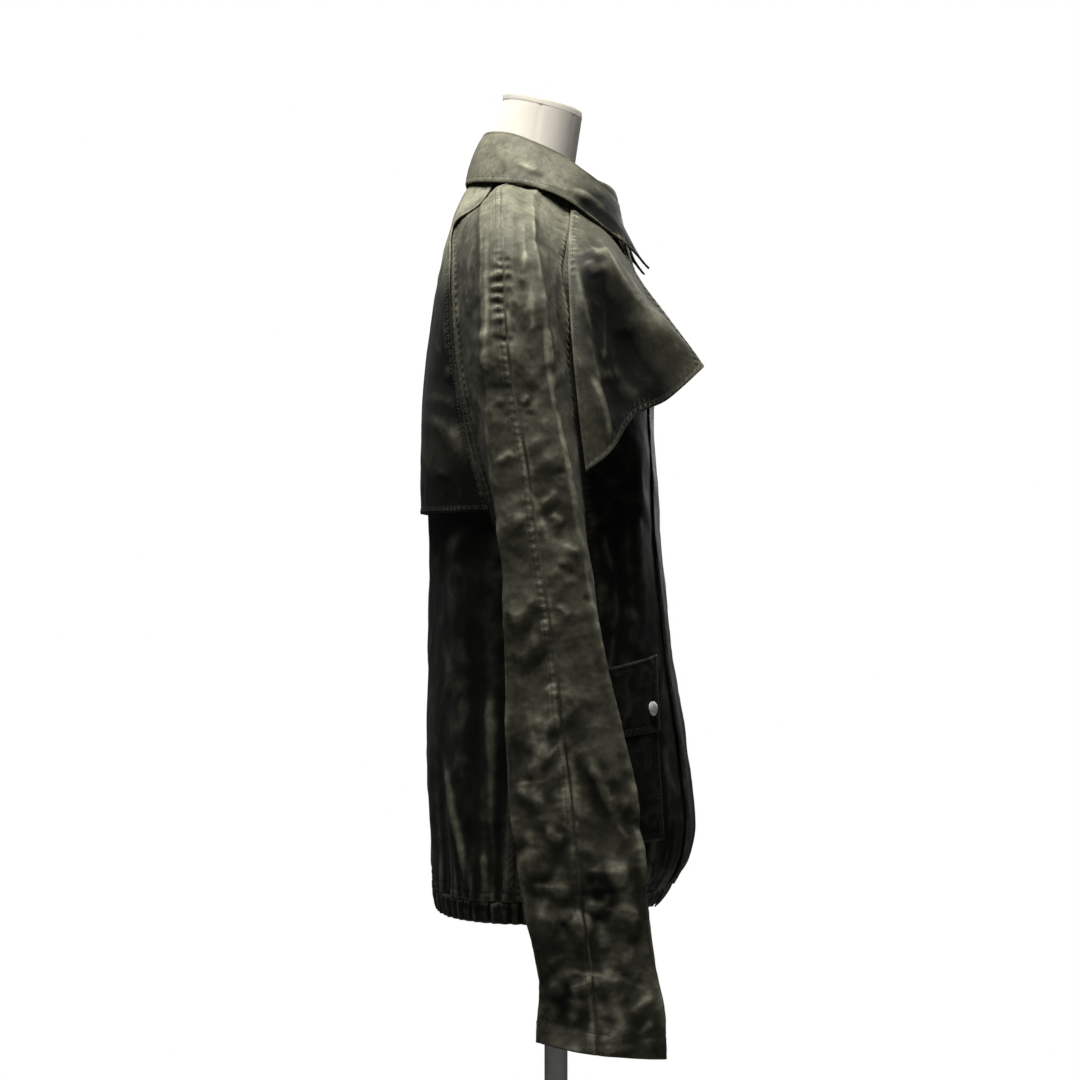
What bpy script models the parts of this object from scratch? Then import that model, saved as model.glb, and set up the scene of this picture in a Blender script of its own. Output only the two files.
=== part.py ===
"""Trench coat in waxed cotton, standing on a limbless dress form.

Metres, +Z up. The origin is the middle of the base's underside, on the floor. The coat faces -Y, and
its own right side is at -X. Every cloth piece is a thin closed wall around a middle surface, a grid of
points whose rows run round the coat and whose columns run down it. Points are worked out for the right
side, with x counted outwards, and the left side is their mirror image.
"""

import math

import bmesh
import bpy
import numpy as np

COLLECTION = "trench_coat_on_dress_form"
SHARP_ANGLE = math.radians(50)
TINY = 1e-9

# Cloth.
WALL = 0.0012
SEAM_GAP = 0.0007
LAYER_GAP = 0.0006
UNDERARM_GAP = 0.0035

# How finely the panels are cut, in rows and in steps across.
YOKE_ROWS = 15
SKIRT_ROWS = 7
TUBE_ROWS = 12
BACK_STEPS = 10
FRONT_STEPS = 11
SLEEVE_STEPS = 4

# The depth (y) at which a section of the body is widest, and how square its front half is.
AXIS_Y = 0.018
FRONT_POWER = 2.1

# Sections of the body, from the neckline (0) over the underarm (9) to the hem (16).
# station, half width, front y, front z, side z, back y, back z, back squareness
BODY_SECTIONS = np.array((
    (0, 0.082, -0.0700, 1.372, 1.424, 0.0790, 1.443, 2.4),
    (1, 0.110, -0.0780, 1.350, 1.388, 0.0980, 1.415, 2.8),
    (2, 0.150, -0.0860, 1.320, 1.352, 0.1090, 1.383, 3.3),
    (3, 0.178, -0.0930, 1.290, 1.318, 0.1180, 1.345, 3.3),
    (4, 0.190, -0.0990, 1.255, 1.280, 0.1270, 1.295, 2.9),
    (5, 0.198, -0.1015, 1.210, 1.225, 0.1345, 1.235, 2.6),
    (6, 0.203, -0.1030, 1.165, 1.170, 0.1390, 1.175, 2.5),
    (7, 0.205, -0.1062, 1.115, 1.115, 0.1385, 1.115, 2.5),
    (8, 0.206, -0.1090, 1.060, 1.050, 0.1350, 1.050, 2.4),
    (9, 0.206, -0.1160, 1.000, 0.965, 0.1340, 0.985, 2.3),
    (10, 0.206, -0.1240, 0.925, 0.905, 0.1355, 0.915, 2.2),
    (11, 0.207, -0.1340, 0.860, 0.850, 0.1372, 0.855, 2.2),
    (12, 0.209, -0.1420, 0.800, 0.795, 0.1365, 0.795, 2.2),
    (13, 0.210, -0.1470, 0.748, 0.745, 0.1345, 0.745, 2.2),
    (14, 0.208, -0.1400, 0.710, 0.708, 0.1335, 0.708, 2.2),
    (15, 0.201, -0.1230, 0.688, 0.685, 0.1315, 0.683, 2.2),
    (16, 0.198, -0.1110, 0.668, 0.662, 0.1285, 0.658, 2.2),
))

# Where the seams cross each section: the two raglan seams, which become one side seam at station 9.
# station, back seam y, front seam y
SEAMS = np.array((
    (0, 0.0600, -0.0120),
    (1, 0.0780, -0.0140),
    (2, 0.1045, -0.0095),
    (3, 0.1060, -0.0055),
    (4, 0.1040, -0.0110),
    (5, 0.0985, -0.0135),
    (6, 0.0870, -0.0190),
    (7, 0.0720, -0.0245),
    (8, 0.0450, -0.0300),
    (9, -0.0360, -0.0360),
    (10, -0.0050, -0.0050),
    (11, 0.0300, 0.0300),
    (12, 0.0400, 0.0400),
    (16, 0.0420, 0.0420),
))

# The sleeve's lengthwise lines: its overarm seam, back fold and front fold, from the neckline over the
# underarm (9) to the cuff (17).
# station, overarm x y z, back fold x y z, front fold x y z
SLEEVE_SECTIONS = np.array((
    (0, 0.0790, 0.0400, 1.4257, 0.0729, 0.0520, 1.4287, 0.0820, 0.0150, 1.4240),
    (1, 0.1120, 0.0555, 1.4165, 0.1040, 0.0690, 1.4085, 0.1180, 0.0260, 1.4030),
    (2, 0.1600, 0.0560, 1.3980, 0.1500, 0.0760, 1.3890, 0.1630, 0.0260, 1.3840),
    (3, 0.2000, 0.0550, 1.3700, 0.1900, 0.0760, 1.3620, 0.2030, 0.0245, 1.3560),
    (4, 0.2280, 0.0540, 1.3300, 0.2190, 0.0750, 1.3220, 0.2290, 0.0215, 1.3180),
    (5, 0.2430, 0.0510, 1.2600, 0.2340, 0.0738, 1.2600, 0.2430, 0.0125, 1.2550),
    (6, 0.2500, 0.0430, 1.1950, 0.2400, 0.0700, 1.2000, 0.2490, 0.0035, 1.1920),
    (7, 0.2560, 0.0300, 1.1250, 0.2430, 0.0670, 1.1300, 0.2520, -0.0110, 1.1200),
    (8, 0.2600, 0.0205, 1.0550, 0.2450, 0.0560, 1.0550, 0.2530, -0.0230, 1.0500),
    (9, 0.2630, 0.0100, 0.9850, 0.2460, 0.0520, 0.9850, 0.2520, -0.0350, 0.9850),
    (10, 0.2650, 0.0020, 0.9300, 0.2470, 0.0505, 0.9300, 0.2520, -0.0455, 0.9300),
    (11, 0.2670, -0.0040, 0.8720, 0.2480, 0.0490, 0.8720, 0.2520, -0.0590, 0.8720),
    (12, 0.2690, -0.0130, 0.8020, 0.2480, 0.0470, 0.8020, 0.2520, -0.0740, 0.8020),
    (13, 0.2700, -0.0185, 0.7475, 0.2490, 0.0400, 0.7475, 0.2520, -0.0809, 0.7475),
    (14, 0.2710, -0.0235, 0.6920, 0.2500, 0.0312, 0.6920, 0.2520, -0.0860, 0.6920),
    (15, 0.2710, -0.0320, 0.6400, 0.2500, 0.0225, 0.6400, 0.2530, -0.0935, 0.6400),
    (16, 0.2720, -0.0355, 0.6000, 0.2500, 0.0175, 0.6020, 0.2540, -0.1000, 0.5970),
    (17, 0.2720, -0.0390, 0.5440, 0.2510, 0.0200, 0.5530, 0.2540, -0.1060, 0.5370),
))

# The sleeve's underarm seam below the armhole.
# station, x, y, z
UNDERARM = np.array((
    (10, 0.2260, 0.0000, 0.9300),
    (11, 0.2260, -0.0040, 0.8720),
    (12, 0.2260, -0.0120, 0.8020),
    (13, 0.2260, -0.0190, 0.7475),
    (14, 0.2270, -0.0260, 0.6920),
    (15, 0.2280, -0.0340, 0.6400),
    (16, 0.2290, -0.0400, 0.6000),
    (17, 0.2290, -0.0430, 0.5440),
))

UNDERARM_STATION = 9.0
SKIRT_END = 15.0
HEM_END = 16.0
CUFF_STATION = 17.0

# The largest folds, seen from the side: where each begins and ends, its width and its rise.
# start y, start z, end y, end z, width, rise
SLEEVE_FOLDS = (
    (0.0400, 1.3150, 0.0400, 1.2600, 0.013, -0.0050),
    (0.0250, 1.3200, 0.0150, 1.2300, 0.014, 0.0045),
    (0.0350, 1.1300, -0.0050, 1.0600, 0.016, -0.0030),
    (0.0300, 0.9500, 0.0100, 0.8600, 0.020, -0.0035),
    (-0.0150, 0.8300, -0.0450, 0.7500, 0.018, -0.0050),
    (-0.0450, 0.8300, -0.0600, 0.7300, 0.014, 0.0035),
    (0.0250, 0.6950, -0.0500, 0.6800, 0.018, -0.0040),
    (-0.0600, 0.6500, -0.0200, 0.5800, 0.020, -0.0035),
)
# How sharply folds fade as the cloth turns away from the side.
FACING_GAIN = 1.4
FACING_START = 0.2
BODY_FOLDS = (
    (0.1300, 0.8400, 0.0880, 0.6850, 0.014, 0.0050),
    (0.1050, 0.8200, 0.0620, 0.7000, 0.020, -0.0035),
    (-0.0900, 1.1400, -0.0970, 1.0000, 0.014, 0.0030),
    (-0.0680, 1.1200, -0.0720, 0.9900, 0.018, -0.0040),
)

# How far each front reaches past the centre line, at stations down the front.
OVERLAP_STATIONS = (0, 3, 9, 16)
UPPER_OVERLAP = (0.018, 0.065, 0.085, 0.085)
UNDER_OVERLAP = (0.006, 0.030, 0.035, 0.035)
MOST_OVERLAP = 0.98
LIFT_START = 0.062
LIFT_RUN = 0.020
FRONT_LIFT = WALL + 0.0016

# The storm cape over the back.
CAPE_HEM_STATION = 7.57
CAPE_INSET = 0.007
CAPE_LIFT = WALL + LAYER_GAP
CAPE_FLARE = 0.0045
CAPE_LAST_ROW = 0.2

# The gun flap: a row for each cross line, from the neckline to the hem, and in it the seam, the fold
# beside it, the hollow, the crease and the free front edge.
FLAP_ROWS = 12
FLAP_STEPS = 3
GUN_FLAP = (
    ((0.094, -0.0160, 1.4000), (0.087, -0.0310, 1.3935), (0.079, -0.0440, 1.3870),
     (0.070, -0.0520, 1.3815), (0.060, -0.0600, 1.3760)),
    ((0.162, -0.0120, 1.3380), (0.155, -0.0300, 1.3390), (0.145, -0.0450, 1.3400),
     (0.131, -0.0570, 1.3410), (0.083, -0.0865, 1.3245)),
    ((0.196, -0.0150, 1.2560), (0.191, -0.0300, 1.2570), (0.174, -0.0520, 1.2650),
     (0.128, -0.0850, 1.2860), (0.086, -0.1160, 1.2840)),
    ((0.207, -0.0220, 1.1760), (0.209, -0.0440, 1.1760), (0.176, -0.0650, 1.2050),
     (0.122, -0.1090, 1.2630), (0.088, -0.1450, 1.2450)),
    ((0.211, -0.0290, 1.1190), (0.212, -0.0530, 1.1380), (0.176, -0.0790, 1.1760),
     (0.135, -0.1140, 1.1950), (0.092, -0.1540, 1.2310)),
)

# The collar, from the back's centre line to its right end: the fold on top, the leaf's lower edge, and
# the neckline seam of the stand.
COLLAR_STEPS = 26
COLLAR_ROWS = 4
STAND_ROWS = 2
COLLAR_CROWN = 0.003
# The hollow in the leaf's front end, and how close to the end it stays.
COLLAR_HOLLOW = 0.007
COLLAR_END_POWER = 8
COLLAR_FOLD = (
    (0.000, 0.0795, 1.4815),
    (0.035, 0.0730, 1.4835),
    (0.062, 0.0500, 1.4790),
    (0.074, 0.0260, 1.4690),
    (0.070, -0.0040, 1.4560),
    (0.056, -0.0240, 1.4440),
    (0.042, -0.0460, 1.4300),
    (0.026, -0.0630, 1.4140),
    (0.016, -0.0685, 1.3990),
)
# How much higher the collar stands on its left, at the same places.
LEFT_RISE = (0.0, 0.0, 0.0, 0.0, 0.001, 0.005, 0.012, 0.016, 0.012)
COLLAR_EDGE = (
    (0.000, 0.0960, 1.4310),
    (0.055, 0.0880, 1.4290),
    (0.088, 0.0600, 1.4250),
    (0.102, 0.0300, 1.4200),
    (0.104, -0.0040, 1.4080),
    (0.098, -0.0350, 1.3880),
    (0.086, -0.0655, 1.3655),
    (0.076, -0.0850, 1.3500),
    (0.066, -0.0975, 1.3365),
)
COLLAR_SEAM = (
    (0.000, 0.0795, 1.4460),
    (0.040, 0.0700, 1.4420),
    (0.064, 0.0510, 1.4350),
    (0.078, 0.0250, 1.4290),
    (0.079, -0.0040, 1.4240),
    (0.070, -0.0240, 1.4140),
    (0.054, -0.0460, 1.4000),
    (0.032, -0.0600, 1.3880),
    (0.018, -0.0650, 1.3800),
)

# The patch pockets, by their stations down the front and their depths.
POCKET_TOP = 10.05
POCKET_BOTTOM = 13.10
POCKET_ROWS = 7
POCKET_STEPS = 6
POCKET_FRONT_Y = (-0.0990, -0.1080)
POCKET_BACK_Y = (0.0280, 0.0280)
POCKET_LIFT = WALL + 0.0012
POCKET_FLAP_TOP = 9.82
POCKET_FLAP_BOTTOM = 11.05
POCKET_FLAP_ROWS = 3

# The snaps on the pocket flaps: radius and height of each level of the cap.
SNAP_STATION = 10.65
SNAP_SPAN = 0.1
SNAP_Y = (-0.0925, -0.0825)
SNAP_SEAT = 0.0003
SNAP_SIDES = 20
SNAP_HEIGHT = 0.0034
SNAP_PROFILE = ((0.0066, 0.0), (0.0075, 0.0007), (0.0073, 0.0014), (0.0060, 0.0025), (0.0035, 0.0031))

# The gathered casing at the hem.
HEM_SEAM = 0.03
LAPPED_HEM_SEAM = 0.06
HEM_INSET = 0.006
BACK_GATHERS = 28
FRONT_GATHERS = 22
GATHER_DEPTH = 0.0016
GATHER_UNEVENNESS = 0.25
GATHER_PACE = 1.7
SEAM_GATHER_SHARE = 0.5
HEM_LIFT = WALL + 0.0020
FLAT_GATHERS_X = 0.068
FLAT_GATHERS_SHARE = 0.15

# The dress form: rings from the neck's top to the torso's flat underside.
# z at the widest depth, slope towards the back, half width, front y, widest y, back y, front power
FORM_SECTIONS = (
    (1.5140, 0.237, 0.0455, -0.0280, 0.0162, 0.0574, 2.1),
    (1.4850, 0.220, 0.0460, -0.0235, 0.0210, 0.0640, 2.1),
    (1.4550, 0.200, 0.0480, -0.0190, 0.0260, 0.0700, 2.1),
    (1.4320, 0.200, 0.0540, -0.0180, 0.0300, 0.0740, 2.1),
    (1.4140, 0.220, 0.0720, -0.0210, 0.0360, 0.0780, 2.0),
    (1.3980, 0.160, 0.1080, -0.0290, 0.0420, 0.0850, 1.9),
    (1.3800, 0.080, 0.1495, -0.0385, 0.0450, 0.0920, 1.8),
    (1.3500, 0.000, 0.1835, -0.0515, 0.0460, 0.1000, 1.8),
    (1.3050, 0.000, 0.1900, -0.0640, 0.0440, 0.1080, 1.8),
    (1.2500, 0.000, 0.1860, -0.0780, 0.0360, 0.1160, 1.9),
    (1.1800, 0.000, 0.1780, -0.0880, 0.0260, 0.1210, 2.0),
    (1.1000, 0.000, 0.1660, -0.0840, 0.0180, 0.1160, 2.1),
    (1.0300, 0.000, 0.1600, -0.0800, 0.0160, 0.1100, 2.1),
    (0.9600, 0.000, 0.1660, -0.0840, 0.0160, 0.1120, 2.1),
    (0.8900, 0.000, 0.1760, -0.0880, 0.0160, 0.1160, 2.1),
    (0.8200, 0.000, 0.1790, -0.0860, 0.0160, 0.1150, 2.1),
    (0.7500, 0.000, 0.1720, -0.0780, 0.0160, 0.1080, 2.1),
    (0.7250, 0.000, 0.1650, -0.0720, 0.0160, 0.1020, 2.1),
)
FORM_BACK_POWER = 2.2
FORM_SIDES = 24
FORM_ROWS = 20
# The neck cap: rise over the neck's top, and inset from its edge.
NECK_CAP_PROFILE = ((0.0003, 0.0), (0.0085, 0.0004), (0.0100, 0.0030), (0.0125, 0.0160), (0.0135, 0.0320))

# The stand.
POLE_RADIUS = 0.0125
POLE_SIDES = 24
BASE_SIDES = 48
SEAT_GAP = 0.0003
BASE_HEIGHT = 0.034
# The base, turned: radius and height, from the top's middle to the underside's middle.
BASE_PROFILE = (
    (0.0, BASE_HEIGHT),
    (0.021, BASE_HEIGHT),
    (0.024, 0.031),
    (0.028, 0.020),
    (0.060, 0.0155),
    (0.176, 0.0110),
    (0.183, 0.0080),
    (0.185, 0.0030),
    (0.183, 0.0),
    (0.0, 0.0),
)


def through(table, at):
    """A smooth curve through the table's rows, read at the stations given: a cubic in each span, whose
    slope at a row is that of the line between the rows beside it."""
    knots = table[:, 0]
    keys = table[:, 1:]
    slopes = np.empty_like(keys)
    slopes[1:-1] = (keys[2:] - keys[:-2]) / (knots[2:] - knots[:-2])[:, None]
    slopes[0] = (keys[1] - keys[0]) / (knots[1] - knots[0])
    slopes[-1] = (keys[-1] - keys[-2]) / (knots[-1] - knots[-2])
    at = np.atleast_1d(np.asarray(at, float))
    span = np.clip(np.searchsorted(knots, at, side="right") - 1, 0, len(knots) - 2)
    width = (knots[span + 1] - knots[span])[:, None]
    t = (at[:, None] - knots[span][:, None]) / width
    start = (2 * t**3 - 3 * t**2 + 1) * keys[span] + (t**3 - 2 * t**2 + t) * width * slopes[span]
    end = (3 * t**2 - 2 * t**3) * keys[span + 1] + (t**3 - t**2) * width * slopes[span + 1]
    return start + end


def body_points(stations, turn):
    """Points on the body's sections. turn is 0 at the back's centre line, pi/2 at the side and pi at the
    front's centre line, and may differ along a row."""
    half, front_y, front_z, side_z, back_y, back_z, square = through(BODY_SECTIONS, stations).T[:, :, None]
    turn = np.broadcast_to(turn, (len(np.atleast_1d(stations)), np.shape(turn)[-1]))
    cosine = np.cos(turn)
    behind = cosine >= 0
    power = np.where(behind, square, FRONT_POWER)
    depth = np.where(behind, back_y - AXIS_Y, AXIS_Y - front_y)
    share = np.abs(cosine) ** (2 / power)
    x = half * np.sign(np.sin(turn)) * np.abs(np.sin(turn)) ** (2 / power)
    y = AXIS_Y + np.sign(cosine) * depth * share
    z = side_z + (np.where(behind, back_z, front_z) - side_z) * cosine**2
    return np.stack((x, y, z), axis=-1)


def turn_at(stations, y):
    """The turn at which each section has the depth y."""
    half, front_y, front_z, side_z, back_y, back_z, square = through(BODY_SECTIONS, stations).T
    behind = y >= AXIS_Y
    power = np.where(behind, square, FRONT_POWER)
    depth = np.where(behind, back_y - AXIS_Y, AXIS_Y - front_y)
    cosine = np.clip(np.abs(y - AXIS_Y) / depth, 0, 1) ** (power / 2)
    return np.arccos(np.where(behind, cosine, -cosine))


def seam_turns(stations):
    """(back, front): the turns of the back and of the front seam on each section."""
    back_y, front_y = through(SEAMS, stations).T
    return turn_at(stations, back_y), turn_at(stations, front_y)


def along(keys, steps):
    """A smooth curve through each row's key points, with the same number of steps in every span."""
    spans = keys.shape[1] - 1
    at = np.linspace(0, spans, spans * steps + 1)
    rows = []
    for row in keys:
        chord = np.sqrt(np.linalg.norm(np.diff(row, axis=0), axis=1)) + TINY
        knots = np.concatenate(((0.0,), np.cumsum(chord)))
        table = np.column_stack((knots, row))
        rows.append(through(table, np.interp(at, np.arange(spans + 1), knots)))
    return np.array(rows)


def sleeve_keys(stations):
    """Key points round the right sleeve: back seam, back fold, overarm, front fold, front seam. Below the
    underarm the first and the last are one point."""
    over, back, front = np.split(through(SLEEVE_SECTIONS, stations), 3, axis=1)
    back_turn, front_turn = seam_turns(np.minimum(stations, UNDERARM_STATION))
    upper = np.minimum(stations, UNDERARM_STATION)
    back_seam = np.array([body_points([s], np.array([t]))[0, 0] for s, t in zip(upper, back_turn)])
    front_seam = np.array([body_points([s], np.array([t]))[0, 0] for s, t in zip(upper, front_turn)])
    armpit = body_points([UNDERARM_STATION], np.array([seam_turns([UNDERARM_STATION])[1][0]]))[0, 0]
    under = through(np.vstack((np.append(UNDERARM_STATION, armpit), UNDERARM)), stations)
    below = (stations > UNDERARM_STATION)[:, None]
    back_seam = np.where(below, under, back_seam)
    front_seam = np.where(below, under, front_seam)
    return np.stack((back_seam, back, over, front, front_seam), axis=1)


def normals_of(grid):
    """Unit normals of a grid whose rows run from back to front and whose columns run down, outwards."""
    down = np.gradient(grid, axis=0)
    across = np.gradient(grid, axis=1)
    normal = np.cross(across, down)
    return normal / np.linalg.norm(normal, axis=-1, keepdims=True)


def unit(vectors):
    return vectors / np.maximum(np.linalg.norm(vectors, axis=-1, keepdims=True), TINY)


def folded(grid, folds):
    """The grid with each fold raised or sunk along its line: a bell across the line, on the side of the
    piece that faces outwards, and nothing at the seams and hems."""
    normals = normals_of(grid)
    outwards = normals[..., 0] * np.sign(grid[..., 0])
    facing = np.clip(outwards * FACING_GAIN - FACING_START, 0, 1)
    rise = np.zeros(grid.shape[:2])
    for y0, z0, y1, z1, width, height in folds:
        line = np.array((y1 - y0, z1 - z0))
        offset = grid[..., 1:] - (y0, z0)
        share = np.clip(offset @ line / (line @ line), 0, 1)
        distance = np.linalg.norm(offset - share[..., None] * line, axis=-1)
        rise += height * np.exp(-(distance / width) ** 2)
    rise[:, (0, -1)] = 0
    return grid + normals * (rise * facing)[..., None]


# ---------------------------------------------------------------- meshes

def material(name, colour, roughness, metallic=0.0):
    """A plain Principled material."""
    found = bpy.data.materials.get(name)
    if found:
        return found
    made = bpy.data.materials.new(name)
    made.use_nodes = True
    shader = made.node_tree.nodes["Principled BSDF"]
    shader.inputs["Base Color"].default_value = (*colour, 1.0)
    shader.inputs["Roughness"].default_value = roughness
    shader.inputs["Metallic"].default_value = metallic
    return made


def add_mesh(name, points, faces, finish):
    """A mesh object of its own, in the part's collection."""
    mesh = bpy.data.meshes.new(name)
    mesh.from_pydata([tuple(p) for p in points], [], [tuple(int(i) for i in f) for f in faces])
    mesh.validate()
    mesh.update()
    mesh.shade_smooth()
    mesh.set_sharp_from_angle(angle=SHARP_ANGLE)
    mesh.materials.append(finish)
    made = bpy.data.objects.new(name, mesh)
    bpy.data.collections[COLLECTION].objects.link(made)
    return made


def turn_outwards(made):
    """Turns every face of a closed mesh outwards."""
    tool = bmesh.new()
    tool.from_mesh(made.data)
    bmesh.ops.recalc_face_normals(tool, faces=tool.faces)
    tool.to_mesh(made.data)
    tool.free()
    made.data.set_sharp_from_angle(angle=SHARP_ANGLE)


def wall_faces(rows, columns):
    """Triangles of a closed wall: an outer grid, the same grid inside it, and the rim between them."""
    index = np.arange(rows * columns).reshape(rows, columns)
    a, b, c, d = index[:-1, :-1], index[:-1, 1:], index[1:, 1:], index[1:, :-1]
    outer = np.concatenate([np.stack((a, c, d), -1).reshape(-1, 3), np.stack((a, b, c), -1).reshape(-1, 3)])
    inner = outer[:, ::-1] + rows * columns
    loop = np.concatenate((index[0], index[1:, -1], index[-1, -2::-1], index[-2:0:-1, 0]))
    following = np.roll(loop, -1)
    deep = rows * columns
    rim = np.concatenate([
        np.stack((following, loop, loop + deep), -1),
        np.stack((following, loop + deep, following + deep), -1),
    ])
    return np.concatenate((outer, inner, rim))


def cloth(name, grid, normals, finish, mirrored=False, wall=WALL):
    """A cloth piece: a wall of even thickness round the grid. mirrored puts it on the right side."""
    points = np.concatenate((grid + normals * wall / 2, grid - normals * wall / 2)).reshape(-1, 3)
    faces = wall_faces(*grid.shape[:2])
    if mirrored:
        points = points * (-1, 1, 1)
        faces = faces[:, ::-1]
    return add_mesh(name, points, faces, finish)


def open_seams(grid, first=True, last=True, gap=SEAM_GAP):
    """The grid with its first and last columns drawn in by half the seam's gap."""
    grid = grid.copy()
    if first:
        grid[:, 0] += unit(grid[:, 1] - grid[:, 0]) * gap / 2
    if last:
        grid[:, -1] += unit(grid[:, -2] - grid[:, -1]) * gap / 2
    return grid


# ---------------------------------------------------------------- cloth panels

def front_overlap(stations, widths):
    """The turn past the front's centre line at which a front panel ends."""
    half = through(BODY_SECTIONS, stations).T[0]
    reach = np.interp(stations, OVERLAP_STATIONS, widths)
    return np.arcsin(np.clip(reach / half, 0, MOST_OVERLAP) ** (FRONT_POWER / 2))


def lapped(grid, height):
    """The grid moved out by the height where the upper front lies on the under one."""
    ramp = np.clip((LIFT_START - grid[..., 0]) / LIFT_RUN, 0, 1)
    return grid + normals_of(grid) * (ramp * ramp * (3 - 2 * ramp) * height)[..., None]


def body_grids(stations):
    """Middle surfaces of the back, of the upper (left) front and of the under (right) front, as left
    pieces."""
    back_turn, front_turn = seam_turns(stations)
    across = np.linspace(-1, 1, 2 * BACK_STEPS + 1)
    back = body_points(stations, across[None] * back_turn[:, None])
    share = np.linspace(0, 1, FRONT_STEPS + 1)[None]
    grids = [back]
    for widths, lift in ((UPPER_OVERLAP, FRONT_LIFT), (UNDER_OVERLAP, 0.0)):
        end = math.pi + front_overlap(stations, widths)
        turn = front_turn[:, None] + (end - front_turn)[:, None] * share
        grids.append(lapped(body_points(stations, turn), lift))
    return grids


def build_panels(olive):
    """Back, fronts and sleeves: they share their seams' points and their seams' normals, so that their
    walls end side by side."""
    yoke = np.linspace(0, UNDERARM_STATION, YOKE_ROWS + 1)
    skirt = np.concatenate((yoke, np.linspace(UNDERARM_STATION, SKIRT_END, SKIRT_ROWS + 1)[1:]))
    tube = np.concatenate((yoke, np.linspace(UNDERARM_STATION, CUFF_STATION, TUBE_ROWS + 1)[1:]))
    back, upper_front, under_front = (folded(grid, BODY_FOLDS) for grid in body_grids(skirt))
    sleeve = folded(along(sleeve_keys(tube), SLEEVE_STEPS), SLEEVE_FOLDS)
    back_n, upper_n, under_n, sleeve_n = (normals_of(g) for g in (back, upper_front, under_front, sleeve))

    top = slice(0, YOKE_ROWS)
    low = slice(YOKE_ROWS, None)
    back_seam = unit(back_n[top, -1] + sleeve_n[top, 0])
    front_seam = unit(upper_n[top, 0] + sleeve_n[top, -1])
    side_seam = unit(back_n[low, -1] + upper_n[low, 0])
    under_seam = unit(sleeve_n[low, 0] + sleeve_n[low, -1])
    back_n[top, -1] = back_seam
    back_n[low, -1] = side_seam
    back_n[:, 0] = back_n[:, -1] * (-1, 1, 1)
    for normals in (upper_n, under_n):
        normals[top, 0] = front_seam
        normals[low, 0] = side_seam
    sleeve_n[top, 0] = back_seam
    sleeve_n[top, -1] = front_seam
    sleeve_n[low, 0] = under_seam
    sleeve_n[low, -1] = under_seam
    sleeve[YOKE_ROWS, (0, -1), 0] += UNDERARM_GAP

    cloth("back", open_seams(back), back_n, olive)
    cloth("front_left", open_seams(upper_front, last=False), upper_n, olive)
    cloth("front_right", open_seams(under_front, last=False), under_n, olive, mirrored=True)
    middle = 2 * SLEEVE_STEPS
    for side, mirrored in (("left", False), ("right", True)):
        cloth(f"sleeve_back_{side}", open_seams(sleeve[:, :middle + 1]), sleeve_n[:, :middle + 1],
              olive, mirrored)
        cloth(f"sleeve_front_{side}", open_seams(sleeve[:, middle:]), sleeve_n[:, middle:], olive, mirrored)


def build_storm_cape(olive):
    """The cape over the back: the back's own points, moved out, down to its free hem."""
    yoke = np.linspace(0, UNDERARM_STATION, YOKE_ROWS + 1)
    stations = np.append(yoke[yoke < CAPE_HEM_STATION - CAPE_LAST_ROW], CAPE_HEM_STATION)
    drop = stations / CAPE_HEM_STATION
    back_turn = seam_turns(stations)[0]
    half = through(BODY_SECTIONS, stations).T[0]
    turn = np.linspace(-1, 1, 2 * BACK_STEPS + 1)[None] * back_turn[:, None]
    turn[:, -1] -= CAPE_INSET * drop / half
    turn[:, 0] = -turn[:, -1]
    grid = body_points(stations, turn)
    normals = normals_of(grid)
    stand_off = CAPE_LIFT + CAPE_FLARE * drop**2
    cloth("storm_cape", grid + normals * stand_off[:, None, None], normals, olive)


def build_gun_flap(olive):
    """The loose flap over the right chest: a net of its cross folds, smooth both ways."""
    net = np.array(GUN_FLAP)
    rows, keys = net.shape[:2]
    stations = np.linspace(0, rows - 1, FLAP_ROWS + 1)
    lines = np.stack([
        through(np.column_stack((np.arange(rows), net[:, key])), stations) for key in range(keys)
    ], axis=1)
    grid = along(lines, FLAP_STEPS)
    cloth("gun_flap", grid, normals_of(grid), olive, mirrored=True)


def collar_line(table, steps, left_rise=0.0):
    """A line round the collar from its left end over the back to its right end."""
    keys = np.array(table)
    raised = keys.copy()
    raised[:, 2] += left_rise
    whole = np.vstack((raised[:0:-1], keys * (-1, 1, 1)))
    chord = np.sqrt(np.linalg.norm(np.diff(whole, axis=0), axis=1))
    knots = np.concatenate(((0,), np.cumsum(chord)))
    return through(np.column_stack((knots, whole)), np.linspace(0, knots[-1], steps + 1))


def build_collar(olive):
    """The collar's stand, and its leaf, which falls from the fold to the point in front."""
    fold = collar_line(COLLAR_FOLD, COLLAR_STEPS, np.array(LEFT_RISE))
    edge = collar_line(COLLAR_EDGE, COLLAR_STEPS, np.array(LEFT_RISE) / 2)
    seam = collar_line(COLLAR_SEAM, COLLAR_STEPS)
    share = np.linspace(0, 1, COLLAR_ROWS + 1)[:, None, None]
    leaf = fold + (edge - fold) * share
    leaf = leaf[:, ::-1]
    normals = normals_of(leaf)
    crown = 4 * share * (1 - share)
    end = np.abs(np.linspace(-1, 1, COLLAR_STEPS + 1))[None, :, None] ** COLLAR_END_POWER
    leaf = leaf + normals * crown * COLLAR_CROWN * (1 - end)
    leaf = leaf + np.array((0, COLLAR_HOLLOW, 0)) * crown * end
    cloth("collar", leaf, normals_of(leaf), olive)
    top = fold + unit((seam.mean(axis=0) - fold) * (1, 1, 0)) * (WALL + LAYER_GAP)
    share = np.linspace(0, 1, STAND_ROWS + 1)[:, None, None]
    stand = (top + (seam - top) * share)[:, ::-1]
    cloth("collar_stand", stand, normals_of(stand), olive)


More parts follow.
